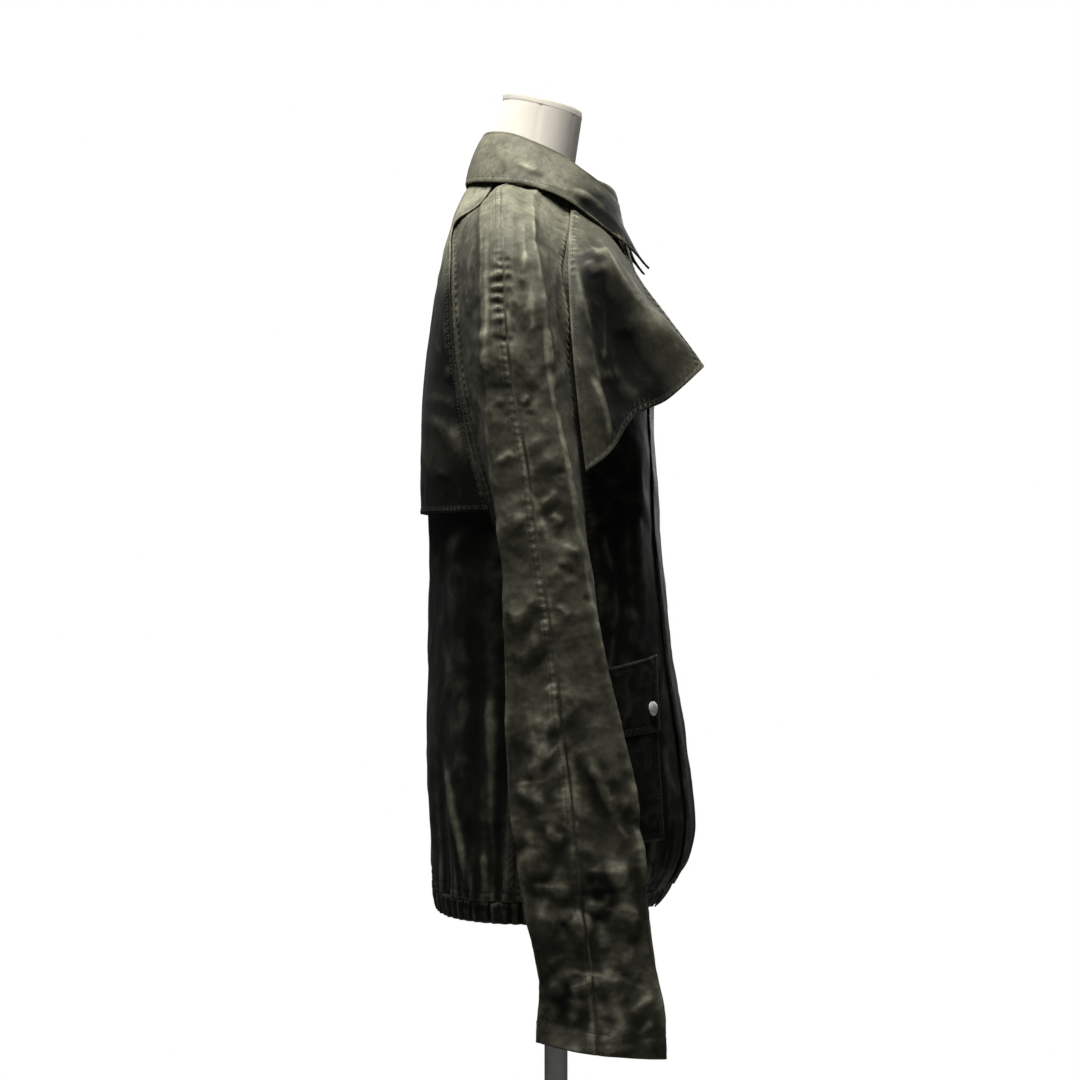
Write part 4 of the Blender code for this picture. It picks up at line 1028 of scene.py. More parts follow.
def cloth(context, name, grid, rise, nodes, tone, right=False, normals=None, step=4,
          edges=0.5, rubs_and_highlights=0.0):
    """A cloth piece with its shell, how light and how pale its cloth is painted, its material, and the solids
    that it replaces hidden. right mirrors it to the coat's right side. tone is how light the cloth is, from
    where the wax lies thick (0) to where it has thinned (1), and on some pieces it also holds painted light
    and shade; the relief's hollows get painted shade on top. edges is how pale the edges are rubbed, and the
    last argument how pale the rest is: rubbed lines and, on some pieces, painted highlights; each from 0 to
    1."""
    wall = context.scene.trench_coat.sizes.wall
    if normals is None:
        normals = normals_of(grid)
    tone, rubs_and_highlights = (np.broadcast_to(values, grid.shape[:2]) for values in (tone, rubs_and_highlights))
    if right:
        grid, normals = grid[:, ::-1] * MIRROR, normals[:, ::-1] * MIRROR
        rise, tone, rubs_and_highlights = rise[:, ::-1], tone[:, ::-1], rubs_and_highlights[:, ::-1]
    made, spread = shell(name, grid, normals, rise, wall, step)
    SEWN[name] = grid + normals * (rise + wall / 2)[..., None], normals
    across, down = distances(grid)
    crests = np.clip((rise - blurred(rise, RELIEF_REACH)) / CREST_HEIGHT, 0, 1) ** 1.3
    border = np.minimum(from_sides(across), from_sides(down.T).T)
    # Pale on rubbed crests and edges, and on the painted highlights that some pieces pass in.
    worn_and_highlit = np.maximum(np.maximum(crests * CREST_RUB, edges * (1 - smooth(border / EDGE_RUB))), rubs_and_highlights)
    paint(made, "wear", spread(worn_and_highlit))
    # The hollows of the relief get painted shade.
    paint(made, "fade", spread(tone - HOLLOW_SHADE * hollows(rise)))
    middle = across.shape[1] // 2
    lay_out(made, spread(np.stack((across - across[:, middle:middle + 1], down), -1)))
    fitted(made, waxed_cotton(context), "waxed_cotton", *nodes)
    return made


# ---------------------------------------------------------------- materials

class Graph:
    """A material's node tree, filled node by node."""

    def __init__(self, name):
        self.material = bpy.data.materials.new(name)
        self.material.use_nodes = True
        self.tree = self.material.node_tree
        self.shader = self.tree.nodes["Principled BSDF"]
        self.coordinates = self.tree.nodes.new("ShaderNodeTexCoord")

    def node(self, kind, links=None, **values):
        """A node with its sockets' values, its properties (in lower case) and its incoming links."""
        made = self.tree.nodes.new(kind)
        for key, value in values.items():
            if key[0].islower():
                setattr(made, key, value)
            else:
                made.inputs[key.replace("_", " ")].default_value = value
        for key, source in (links or {}).items():
            self.tree.links.new(source, made.inputs[key])
        return made

    def noise(self, scale, detail=3.0, roughness=0.55, source="Object", kind="FBM", distortion=0.0):
        """An uneven value from 0 to 1, with so many waves to the metre."""
        return self.node("ShaderNodeTexNoise", {"Vector": self.coordinates.outputs[source]},
                         noise_type=kind, Scale=scale, Detail=detail, Roughness=roughness,
                         Distortion=distortion).outputs["Fac"]

    def attribute(self, name):
        """A value painted on the points."""
        return self.node("ShaderNodeAttribute", attribute_name=name).outputs["Fac"]

    def math(self, operation, first, second=0.5, third=None, clamp=False):
        """A sum, product or the like of links and numbers."""
        made = self.tree.nodes.new("ShaderNodeMath")
        made.operation = operation
        made.use_clamp = clamp
        for socket, value in zip(made.inputs, (first, second, third)):
            if value is None:
                continue
            if isinstance(value, (int, float)):
                socket.default_value = value
            else:
                self.tree.links.new(value, socket)
        return made.outputs[0]

    def stretch(self, value, low, high, to_low=0.0, to_high=1.0):
        """The value, with low to high stretched to the second pair and cut off there."""
        return self.node("ShaderNodeMapRange", {0: value}, clamp=True, **{
            "From_Min": low, "From_Max": high, "To_Min": to_low, "To_Max": to_high}).outputs[0]

    def mix(self, share, first, second, blend="MIX"):
        """Two colours mixed by a share."""
        made = self.tree.nodes.new("ShaderNodeMix")
        made.data_type = "RGBA"
        made.blend_type = blend
        for socket, value in zip((made.inputs[0], made.inputs[6], made.inputs[7]), (share, first, second)):
            if isinstance(value, (int, float)):
                socket.default_value = value
            elif isinstance(value, tuple):
                socket.default_value = (*value, 1.0)
            else:
                self.tree.links.new(value, socket)
        return made.outputs[2]

    def bump(self, height, depth, strength=1.0, below=None):
        """The surface's turn for a height from 0 to 1 that stands for so many metres."""
        links = {"Height": height}
        if below is not None:
            links["Normal"] = below
        return self.node("ShaderNodeBump", links, Strength=strength, Distance=depth).outputs["Normal"]

    def set(self, **values):
        """The shader's sockets: a link, a number or a colour for each."""
        for key, value in values.items():
            socket = self.shader.inputs[key.replace("_", " ")]
            if isinstance(value, (int, float)):
                socket.default_value = value
            elif isinstance(value, tuple):
                socket.default_value = (*value, 1.0)
            else:
                self.tree.links.new(value, socket)
        return self.material


def waxed_cotton(context):
    """Waxed cotton: nearly black where the wax lies thick and where shade is painted, olive where it has
    thinned and where light is painted, pale on creases, edges and painted highlights; satin, with a fine
    weave and a slightly crazed film of wax."""
    found = bpy.data.materials.get("waxed_cotton_cloth")
    if found:
        return found
    colours = context.scene.trench_coat.colours
    g = Graph("waxed_cotton_cloth")
    cloud = g.noise(6.5, 4.0)
    patch = g.noise(38.0, 5.0, 0.62)
    speck = g.noise(170.0, 6.0, 0.75)
    faded_and_lit = g.attribute("fade")
    uneven = g.math("ADD", g.stretch(cloud, 0.3, 0.7, -0.26, 0.26), g.stretch(patch, 0.3, 0.7, -0.24, 0.24))
    uneven = g.math("MULTIPLY", uneven, g.math("MULTIPLY_ADD", faded_and_lit, 0.8, 0.1))
    fade = g.math("ADD", faded_and_lit, uneven, clamp=True)
    base = g.mix(fade, tuple(colours.oiled_and_shaded), tuple(colours.faded_and_lit))
    rub = g.math("MULTIPLY", g.attribute("wear"), g.stretch(patch, 0.35, 0.62, 0.35, 0.95))
    rub = g.math("MULTIPLY", rub, g.math("MULTIPLY_ADD", fade, 0.6, 0.4))
    craze = g.noise(62.0, 6.0, 0.6, kind="RIDGED_MULTIFRACTAL", distortion=0.6)
    film = g.stretch(craze, 0.6, 1.1, 0.0, 0.12)
    rub = g.math("ADD", rub, g.math("MULTIPLY", film, fade), clamp=True)
    base = g.mix(rub, base, tuple(colours.worn_and_highlit))
    base = g.mix(1.0, base, g.stretch(speck, 0.3, 0.7, 0.70, 1.30), "MULTIPLY")
    roughness = g.math("ADD", g.stretch(patch, 0.3, 0.7, 0.48, 0.62), g.math("MULTIPLY", fade, 0.08))
    threads = []
    for along in ((1500.0, 400.0, 1.0), (400.0, 1500.0, 1.0)):
        mapped = g.node("ShaderNodeMapping", {"Vector": g.coordinates.outputs["UV"]})
        mapped.inputs["Scale"].default_value = along
        thread = g.node("ShaderNodeTexNoise", {"Vector": mapped.outputs[0]}, Scale=1.0, Detail=1.0)
        threads.append(thread.outputs["Fac"])
    weave = g.math("ADD", *threads)
    normal = g.bump(craze, 0.0003, 0.3)
    normal = g.bump(patch, 0.0008, 0.3, normal)
    normal = g.bump(g.noise(700.0, 3.0), 0.00015, 0.25, normal)
    normal = g.bump(weave, 0.00005, 0.20, normal)
    return g.set(Base_Color=base, Roughness=roughness, Normal=normal, Sheen_Weight=0.02, Sheen_Roughness=0.45,
                 Specular_IOR_Level=0.06)


def sewing_thread(context):
    """Waxed thread, with the twist of its plies."""
    found = bpy.data.materials.get("sewing_thread")
    if found:
        return found
    g = Graph("sewing_thread")
    ply = g.noise(2600.0, 2.0)
    base = g.mix(ply, (0.016, 0.016, 0.011), tuple(context.scene.trench_coat.colours.thread))
    return g.set(Base_Color=base, Roughness=g.stretch(ply, 0.3, 0.7, 0.5, 0.7), Normal=g.bump(ply, 0.0001))


def form_jersey(context):
    """Cream cotton jersey over the form: fine ribs down the cloth, slight soiling and lint."""
    found = bpy.data.materials.get("form_jersey_cloth")
    if found:
        return found
    g = Graph("form_jersey_cloth")
    cloud = g.noise(9.0, 4.0)
    fibre = g.noise(900.0, 4.0, 0.7)
    jersey = tuple(context.scene.trench_coat.colours.jersey)
    base = g.mix(g.stretch(cloud, 0.3, 0.75, 0.0, 0.5), jersey, tuple(0.82 * c for c in jersey))
    base = g.mix(1.0, base, g.stretch(fibre, 0.3, 0.7, 0.93, 1.05), "MULTIPLY")
    rib = g.node("ShaderNodeTexWave", {"Vector": g.coordinates.outputs["UV"]}, bands_direction="X",
                 Scale=190.0, Distortion=1.0, Detail=1.0).outputs["Fac"]
    normal = g.bump(rib, 0.00025, 0.4)
    normal = g.bump(fibre, 0.00018, 0.5, normal)
    return g.set(Base_Color=base, Roughness=g.stretch(fibre, 0.3, 0.7, 0.82, 0.95), Normal=normal,
                 Sheen_Weight=0.2, Sheen_Roughness=0.5)


def satin_metal(name, colour, streaks, roughness, metallic=1.0):
    """Satin metal with fine scratches, streaked along one axis, and duller patches."""
    found = bpy.data.materials.get(name)
    if found:
        return found
    g = Graph(name)
    mapped = g.node("ShaderNodeMapping", {"Vector": g.coordinates.outputs["Object"]})
    mapped.inputs["Scale"].default_value = streaks
    grain = g.node("ShaderNodeTexNoise", {"Vector": mapped.outputs[0]}, Scale=60.0, Detail=4.0).outputs["Fac"]
    cloud = g.noise(30.0, 3.0)
    base = g.mix(g.stretch(cloud, 0.3, 0.7, 0.0, 1.0), colour, tuple(0.8 * c for c in colour))
    rough = g.math("ADD", g.stretch(grain, 0.3, 0.7, roughness - 0.06, roughness + 0.08),
                   g.stretch(cloud, 0.4, 0.8, 0.0, 0.08))
    return g.set(Base_Color=base, Metallic=metallic, Roughness=rough, Normal=g.bump(grain, 0.00006, 0.5))


# ---------------------------------------------------------------- pieces of the coat

# How finely the pieces are divided: rows to a station, or rows in all, and steps across. Down and across a
# piece they come to a multiple of the step that its shell takes inside. The collar drops a spare row.
STATION_ROWS = 20
SLEEVE_ROWS = 32
BACK_STEPS = 84
FRONT_STEPS = 104
SLEEVE_STEPS = (32, 32, 32, 32)
CAPE_ROWS = 164
CAPE_STEPS = 168
FLAP_ROWS = 30
FLAP_STEPS = (22, 28, 32, 30)
COLLAR_STEPS = 264
LEAF_ROWS = 32
STAND_ROWS = 16
ROLL_ROWS = 7
POCKET_STEPS = 80
HEM_ROWS = 24
GATHER_STEPS = 16

# The sleeve's sharp folds: the shortest and longest of the large ones and of the small ones.
LARGE_FOLDS = (0.040, 0.095)
SMALL_FOLDS = (0.015, 0.032)

# How far from a seam the relief reaches its full height, and how deep the turned hems are.
SEAM_CALM = 0.012
HEM_DEPTH = 0.009
CUFF_DEPTH = 0.022
CAPE_HEM_DEPTH = 0.0055
FLAP_HEM_DEPTH = 0.006
COLLAR_HEM_DEPTH = 0.0065


def front_overlap(stations, widths):
    """The turn past the front's centre line at which a front panel ends."""
    half = through(BODY_SECTIONS, stations).T[0]
    reach = np.interp(stations, OVERLAP_STATIONS, widths)
    return np.arcsin(np.clip(reach / half, 0, MOST_OVERLAP) ** (FRONT_POWER / 2))


def lapped(grid, height):
    """The grid moved out by the height where the upper front lies on the under one."""
    return grid + normals_of(grid) * (smooth((LIFT_START - grid[..., 0]) / LIFT_RUN) * height)[..., None]


def gathers(share, count, phase=0.0):
    """The sway of the gathers along the hem, -1 to 1: a cosine with so many waves in the share from 0 to
    1, each of its own strength."""
    wave = share * 2 * count
    uneven = 1 - GATHER_UNEVENNESS * (1 - np.sin(wave * GATHER_PACE + phase))
    return np.cos(math.pi * wave) * uneven


def from_sides(across):
    """The distance from the nearer side edge, for distances from the first one."""
    return np.minimum(across, across[:, -1:] - across)


def skirt_relief(grid, stations, share, count, crumple, seed):
    """What every body panel has: soft lengthwise folds that grow towards the hem, a faint crumple, and
    gathers that run up from the hem and die out."""
    drop = smooth((stations[:, None] - 6) / 9)
    soft = waves(grid, seed, 0.05, 0.13, (1, 1, 6)) * (0.0008 + 0.0011 * drop)
    small = crumpled(grid, seed + 5, 0.04, 0.10) * 0.0004 + crumpled(grid, seed + 6, 0.014, 0.035) * 0.00010
    above = distances(grid)[1]
    above = above[-1:] - above
    run = GATHER_RUN * (0.75 + 0.35 * np.sin(share * count * 1.9 + seed))
    pull = np.exp(-above / run)
    flat = np.where(np.abs(grid[..., 0]) < FLAT_GATHERS_X, 0.6, 1.0) if count == FRONT_GATHERS else 1.0
    gathered = gathers(share, count) * GATHER_DEPTH * 0.9 * pull * flat
    second = np.sin(share * count * 2.3 + 1.3 * np.sin(share * count * 0.7)) * 0.0016 * np.exp(-above / 0.09)
    return soft + small * crumple + gathered + second


def build_body(context):
    """The back and the two fronts, seamed to the sleeves above the underarm and to each other below."""
    sizes = context.scene.trench_coat.sizes
    stations = np.arange(SKIRT_END * STATION_ROWS + 1) / STATION_ROWS
    top = UNDERARM_STATION * STATION_ROWS
    back_turn, front_turn = seam_turns(stations)
    across = np.linspace(-1, 1, 2 * BACK_STEPS + 1)[None]
    back = folded(body_points(stations, across * back_turn[:, None]), BODY_FOLDS)
    share = np.linspace(0, 1, FRONT_STEPS + 1)[None]
    fronts = []
    for widths, lift in ((UPPER_OVERLAP, FRONT_LIFT), (UNDER_OVERLAP, 0.0)):
        end = math.pi + front_overlap(stations, widths)
        grid = body_points(stations, front_turn[:, None] + (end - front_turn)[:, None] * share)
        fronts.append(folded(lapped(grid, lift), BODY_FOLDS))
    back_n = normals_of(back)
    front_n = [normals_of(grid) for grid in fronts]
    side = unit(back_n[top:, -1] + front_n[0][top:, 0])
    back_n[top:, -1] = side
    back_n[:, 0] = back_n[:, -1] * MIRROR
    for normals in front_n:
        normals[top:, 0] = side

    from_left, run = distances(back)
    edge = from_sides(from_left)
    rise = skirt_relief(back, stations, (across + 1) / 2, BACK_GATHERS, sizes.crumple, 11)
    rise += on_both_sides(back, back_n, BACK_CREASES, 5) * sizes.creases
    rise += scattered(back, 21, 70, (50, 160), (0.4, 1.1), (8, 18)) * sizes.creases
    rise *= smooth(edge / SEAM_CALM) * (0.2 + 0.8 * smooth((stations[:, None] - 7.3) / 0.9))
    rise += seam(edge, run, 31, sizes.puckers * 0.35)
    rise += hem_band(run[-1:] - run, HEM_DEPTH, from_left, 32, sizes.puckers * 0.5)
    rise += folds(back, 61, 0.04, 0.10) * 0.006 * sizes.crumple * smooth(edge / SEAM_CALM)
    low = smooth((stations[:, None] - 11) / 3.5)
    tone = 0.04 + 0.55 * smooth((7.2 - stations[:, None]) / 5) + 0.12 * np.abs(across) * low + 0.08 * low
    cloth(context, "coat_back", back, rise, ["back"], tone, normals=back_n,
          rubs_and_highlights=rubbed(on_both_sides(back, back_n, BACK_RUBS, 5)))
    for name, grid, normals, right, cut, area, seed in (
        ("left", fronts[0], front_n[0], False, (0.31, 0.73), 0.205, 41),
        ("right", fronts[1], front_n[1], True, (0.26, 0.73), 0.175, 51),
    ):
        from_seam, run = distances(grid)
        to_edge = from_seam[:, -1:] - from_seam
        place = grid * MIRROR if right else grid
        rise = skirt_relief(grid, stations, share, FRONT_GATHERS, sizes.crumple, seed)
        rise += creases(grid, normals, FRONT_CREASES, None if right else seed) * sizes.creases
        rise += scattered(grid, seed + 1, 70, (40, 140), (0.4, 1.1), (8, 16)) * sizes.creases
        rise += crumpled(place, seed + 2, 0.02, 0.05) * 0.00012
        rise *= smooth(from_seam / SEAM_CALM)
        rise += seam(from_seam, run, seed + 3, sizes.puckers * 0.35, lapped=False)
        rise += hem_band(to_edge, HEM_DEPTH, run, seed + 4, sizes.puckers * 0.6)
        rise += hem_band(run[-1:] - run, HEM_DEPTH, from_seam, seed + 5, sizes.puckers * 0.5)
        rise += folds(place, seed + 7, 0.04, 0.10) * 0.006 * sizes.crumple * smooth(from_seam / SEAM_CALM)
        tone = 0.03 + 0.5 * smooth((4.6 - stations[:, None]) / 4)
        tone = tone + 0.08 * smooth((stations[:, None] - 12) / 3)
        cloth(context, f"coat_front_{name}", grid, rise, [f"front_{name}"], tone, right=right,
              normals=normals)


def sleeve_relief(grid, normals, stations, right, sizes):
    """The sleeve's creases: the photographed ones on the right, a similar set on the left, strewn ones
    where the cloth turns away, and the crumple, strongest towards the cuff."""
    seed = 101 if right else 151
    place = grid * MIRROR if right else grid
    side = facing(grid, normals)
    low = smooth((stations[:, None] - 10.5) / 4)
    rise = creases(grid, normals, UPPER_SLEEVE_CREASES, None if right else 7)
    rise += creases(grid, normals, LOWER_SLEEVE_CREASES, None if right else 8)
    strewn = scattered(grid, seed, 500, (18, 70), (0.4, 1.5), (4, 9), 0.5)
    away = 1 - 0.75 * side
    rise += strewn * away * (0.5 + 0.2 * low)
    rise *= sizes.creases
    big = crumpled(place, seed + 1, 0.03, 0.07, (1, 1, 1.5)) * (0.0003 + 0.0002 * low)
    small = crumpled(place, seed + 2, 0.012, 0.028) * (0.00010 + 0.00006 * low)
    fine = waves(place, seed + 3, 0.006, 0.012) * 0.00007
    calm = 0.4 + 0.6 * side
    fold = folds(place, seed + 20, *LARGE_FOLDS) * (0.018 + 0.022 * low) * calm
    fold += folds(place, seed + 50, *SMALL_FOLDS) * (0.030 - 0.012 * low) * calm
    return rise + (big * 0.3 + small + fine + fold) * sizes.crumple


def build_sleeves(context):
    """Each sleeve's two pieces, seamed over the arm and under it and to the body at the raglan seams."""
    sizes = context.scene.trench_coat.sizes
    stations = np.arange(CUFF_STATION * SLEEVE_ROWS + 1) / SLEEVE_ROWS
    grid = folded(along(sleeve_keys(stations), SLEEVE_STEPS), SLEEVE_FOLDS)
    normals = normals_of(grid)
    low = UNDERARM_STATION * SLEEVE_ROWS
    under = unit(normals[low:, 0] + normals[low:, -1])
    normals[low:, 0] = under
    normals[low:, -1] = under
    middle = SLEEVE_STEPS[0] + SLEEVE_STEPS[1]
    across, run = distances(grid)
    from_over = across - across[:, middle:middle + 1]
    ends = from_sides(across)
    above_cuff = run[-1:] - run
    back_fold = across - across[:, SLEEVE_STEPS[0]:SLEEVE_STEPS[0] + 1]
    front = middle + SLEEVE_STEPS[2]
    front_fold = across - across[:, front:front + 1]
    for side, right in (("right", True), ("left", False)):
        seed = 201 if right else 251
        sharp = 0.0015 * (1 + 0.5 * waves(run[..., None] * UPWARDS, seed, 0.08, 0.2))
        rise = sleeve_relief(grid, normals, stations, right, sizes)
        rise += sharp * tent(np.abs(back_fold) / 0.010) + sharp * 1.6 * tent(np.abs(front_fold) / 0.010)
        rise *= smooth(ends / 0.008 + 0.1) * smooth(np.abs(from_over) / 0.004 + 0.35)
        high = smooth((grid[..., 2] - 1.225) / 0.03) * smooth((1.345 - grid[..., 2]) / 0.03)
        lower = 0.25 + 0.75 * smooth((grid[..., 2] - 0.88) / 0.03)
        behind = seam(-from_over, run, seed + 1, sizes.puckers * 0.6 * lower)
        behind += puckers(-from_over, run, seed + 4, sizes.puckers * 2.5 * high, 0.0130, 0.0065)
        over = np.where(from_over < 0, behind, seam(from_over, run, seed + 1, 0.0001, lapped=False))
        rise += over + seam(ends, run, seed + 2, sizes.puckers, lapped=False)
        rise += hem_band(above_cuff, CUFF_DEPTH, across, seed + 3, sizes.puckers * 0.25)
        away = 1 - smooth(facing(grid, normals) + 0.3)
        # Painted shade: darker towards the cuff, and from station 7 down darker where the cloth turns away
        # from the side.
        tone = 1.0 - 0.22 * smooth((stations[:, None] - 8) / 6)
        tone = tone - 0.35 * away * smooth((stations[:, None] - 7) / 3)
        # Painted shade in the hollows of the relief, in the listed ovals, and over the sleeve's back behind
        # the back fold.
        tone -= 0.22 * hollows(rise)
        tone -= painted_shade_and_sheen(grid, SLEEVE_PAINTED_SHADE) + 0.3 * smooth(-back_fold / 0.005)
        rubs_and_highlights = np.clip(rubbed(creases(grid, normals, SLEEVE_RUBS)) * (1.7 if right else 1.3), 0, 1)
        # Painted highlight: the cloth painted paler over the top of the shoulder, above about 1.33 m.
        rubs_and_highlights = np.maximum(rubs_and_highlights, 0.35 * smooth((grid[..., 2] - 1.33) / 0.06))
        for part, cut in (("back", slice(0, middle + 1)), ("front", slice(middle, None))):
            cloth(context, f"coat_sleeve_{part}_{side}", grid[:, cut], rise[:, cut],
                  [f"sleeve_{part}_{side}"], tone[:, cut], right=right,
                  normals=normals[:, cut], edges=0.15, rubs_and_highlights=rubs_and_highlights[:, cut])


def build_cape(context):
    """The storm cape: the back's own surface, moved out more and more towards its free hem."""
    sizes = context.scene.trench_coat.sizes
    stations = np.linspace(0, CAPE_HEM_STATION, CAPE_ROWS + 1)
    drop = stations / CAPE_HEM_STATION
    back_turn = seam_turns(stations)[0]
    half = through(BODY_SECTIONS, stations).T[0]
    across = np.linspace(-1, 1, CAPE_STEPS + 1)[None]
    grid = body_points(stations, across * (back_turn - CAPE_INSET * drop / half)[:, None])
    normals = normals_of(grid)
    grid = grid + normals * (CAPE_LIFT + CAPE_FLARE * drop**2)[:, None, None]
    from_left, run = distances(grid)
    edge = from_sides(from_left)
    low = smooth(drop[:, None] / 0.8)
    rise = waves(grid, 301, 0.06, 0.14, (1, 1, 4)) * (0.0004 + 0.0014 * low)
    rise += crumpled(grid, 302, 0.04, 0.09) * 0.0005 * sizes.crumple
    rise += crumpled(grid, 303, 0.010, 0.024) * 0.00006 * sizes.crumple
    rise += on_both_sides(grid, normals, CAPE_CREASES, 6) * sizes.creases
    rise += scattered(grid, 304, 120, (30, 110), (0.3, 0.9), (7, 16)) * sizes.creases
    rise = rise * smooth(edge / SEAM_CALM) + 0.0012
    rise += hem_band(edge, 0.006, run, 305, sizes.puckers * 0.5)
    rise += hem_band(run[-1:] - run, CAPE_HEM_DEPTH, from_left, 306, sizes.puckers * 0.7)
    # Painted light and shade: the cape painted lighter over its top, above about 1.27 m with an uneven edge,
    # and darker below; then the listed ovals of painted shade and of painted sheen.
    uneven = waves(grid, 307, 0.03, 0.09) * 0.012 + waves(grid, 308, 0.008, 0.02) * 0.004
    tone = smooth((grid[..., 2] + uneven - 1.272) / 0.085) - 0.05
    tone = tone - painted_shade_and_sheen(grid, CAPE_PAINTED_SHADE_AND_SHEEN)
    # Painted highlight: the cloth painted paler over the top of the cape, above about 1.30 m.
    rubs_and_highlights = 0.75 * smooth((grid[..., 2] - 1.300) / 0.07)
    cloth(context, "coat_storm_cape", grid, rise, ["storm_cape"], tone,
          edges=0.12, rubs_and_highlights=rubs_and_highlights)


def build_flap(context):
    """The loose gun flap: a net of its cross folds, smooth both ways, with its own creases."""
    sizes = context.scene.trench_coat.sizes
    net = np.array(GUN_FLAP)
    rows, keys = net.shape[:2]
    stations = np.linspace(0, rows - 1, FLAP_ROWS * (rows - 1) + 1)
    tables = (np.column_stack((np.arange(rows), net[:, key])) for key in range(keys))
    lines = np.stack([through(table, stations) for table in tables], 1)
    grid = along(lines, FLAP_STEPS)
    normals = normals_of(grid)
    from_seam, run = distances(grid)
    to_edge = from_seam[:, -1:] - from_seam
    side = np.clip(normals[..., 0] * 3, 0, 1)
    rise = from_side(grid, FLAP_CREASES) * side * sizes.creases
    rise += scattered(grid, 402, 160, (16, 60), (0.3, 0.8), (5, 10)) * sizes.creases
    rise += folds(grid, 403, 0.02, 0.05) * 0.012 * sizes.crumple
    rise += crumpled(grid, 404, 0.009, 0.02) * 0.00006 * sizes.crumple
    rise *= smooth(from_seam / 0.008 + 0.2) * smooth(to_edge / 0.006 + 0.4)
    gathered = smooth((grid[..., 2] - 1.310) / 0.02)
    rise += seam(from_seam, run, 405, sizes.puckers * (0.1 + 1.8 * gathered), lapped=False)
    rise += hem_band(to_edge, FLAP_HEM_DEPTH, run, 406, sizes.puckers * 0.7)
    rise += hem_band(run[-1:] - run, FLAP_HEM_DEPTH, from_seam, 407, sizes.puckers * 0.7)
    # Painted shade: the listed ovals darken the flap.
    tone = 0.90 - painted_shade_and_sheen(grid, FLAP_PAINTED_SHADE)
    rubs_and_highlights = np.clip(rubbed(creases(grid, normals, FLAP_RUBS)) * 1.6, 0, 1)
    cloth(context, "coat_gun_flap", grid, rise, ["gun_flap"], tone,
          right=True, step=2, rubs_and_highlights=rubs_and_highlights)


def collar_line(table, steps, left_rise=0.0):
    """A smooth line round the collar from its left end over the back to its right end."""
    keys = np.array(table)
    raised = keys.copy()
    raised[:, 2] += left_rise
    whole = np.vstack((raised[:0:-1], keys * MIRROR))
    chord = np.sqrt(np.linalg.norm(np.diff(whole, axis=0), axis=1))
    knots = np.concatenate(((0,), np.cumsum(chord)))
    return through(np.column_stack((knots, whole)), np.linspace(0, knots[-1], steps + 1))


def build_collar(context):
    """The collar: its stand rises from the neckline to the fold, rolls over in a half circle and falls
    as the leaf to the lower edge, crowned in the middle and hollow at its front ends."""
    sizes = context.scene.trench_coat.sizes
    fold = collar_line(COLLAR_FOLD, COLLAR_STEPS, np.array(LEFT_RISE))
    edge = collar_line(COLLAR_EDGE, COLLAR_STEPS, np.array(LEFT_RISE) / 2)
    neckline = collar_line(COLLAR_SEAM, COLLAR_STEPS)
    share = np.linspace(0, 1, LEAF_ROWS + 1)[:, None, None]
    leaf = fold + (edge - fold) * share
    normals = normals_of(leaf[:, ::-1])[:, ::-1]
    crown = 4 * share * (1 - share)
    end = np.abs(np.linspace(-1, 1, COLLAR_STEPS + 1))[None, :, None] ** COLLAR_END_POWER
    leaf = leaf + normals * crown * COLLAR_CROWN * (1 - end) + np.array((0, COLLAR_HOLLOW, 0)) * crown * end
    inward = unit((neckline.mean(axis=0) - fold) * (1, 1, 0))
    top = fold + inward * STAND_INSET
    stand = neckline + (top - neckline) * np.linspace(0, 1, STAND_ROWS + 1)[:-1, None, None]
    turn = np.linspace(math.pi, 0, ROLL_ROWS + 1)[1:-1, None, None]
    middle = (fold + top) / 2
    roll = middle + (fold - top) / 2 * np.cos(turn) + np.array(UPWARDS) * STAND_INSET * 0.9 * np.sin(turn)
    roll = np.concatenate((top[None], roll))
    grid = np.concatenate((stand[:, ::-1], roll[:, ::-1], leaf[:, ::-1]))
    spare = (len(grid) - 1) % 2
    grid = grid[spare:]
    normals = normals_of(grid)
    across, run = distances(grid)
    to_hem = run[-1:] - run
    ends = from_sides(across)
    fall = smooth((run - run[len(stand) - spare][None]) / 0.012)
    rise = (waves(grid, 501, 0.03, 0.09) * 0.0006 + folds(grid, 502, 0.02, 0.05) * 0.010 * sizes.crumple
            + crumpled(grid, 503, 0.009, 0.02) * 0.00008 * sizes.crumple) * fall
    for row in COLLAR_CREASES:
        rise += crease(grid[..., 1], grid[..., 2], row) * fall * (grid[..., 0] < 0) * sizes.creases
    rise *= smooth(to_hem / 0.006 + 0.3)
    rise += hem_band(to_hem, COLLAR_HEM_DEPTH, across, 504, sizes.puckers * 0.8)
    rise += hem_band(ends, COLLAR_HEM_DEPTH, run, 505, sizes.puckers * 0.5)
    # Painted shade: the listed ovals darken the collar's front. Painted highlight: its rear part, behind
    # about y = -35 mm, is painted paler, less where shade is painted.
    tone = 0.95 - painted_shade_and_sheen(grid, COLLAR_PAINTED_SHADE)
    rubs_and_highlights = 0.32 * smooth((grid[..., 1] + 0.035) / 0.03) * smooth(tone)
    cloth(context, "coat_collar", grid, rise, ["collar", "collar_stand"], tone, step=2,
          rubs_and_highlights=rubs_and_highlights)


def patch(stations, front_y, back_y, steps, stand_off):
    """(grid, normals): a piece that lies on the left front, moved out from it. Its edges' depths are
    those at the pocket's top and bottom."""
    stations = np.asarray(stations, float)
    ends = (POCKET_TOP, POCKET_BOTTOM)
    start = turn_at(stations, np.interp(stations, ends, back_y))
    end = turn_at(stations, np.interp(stations, ends, front_y))
    share = np.linspace(0, 1, steps + 1)[None]
    grid = body_points(stations, start[:, None] + (end - start)[:, None] * share)
    normals = normals_of(grid)
    return grid + normals * stand_off, normals


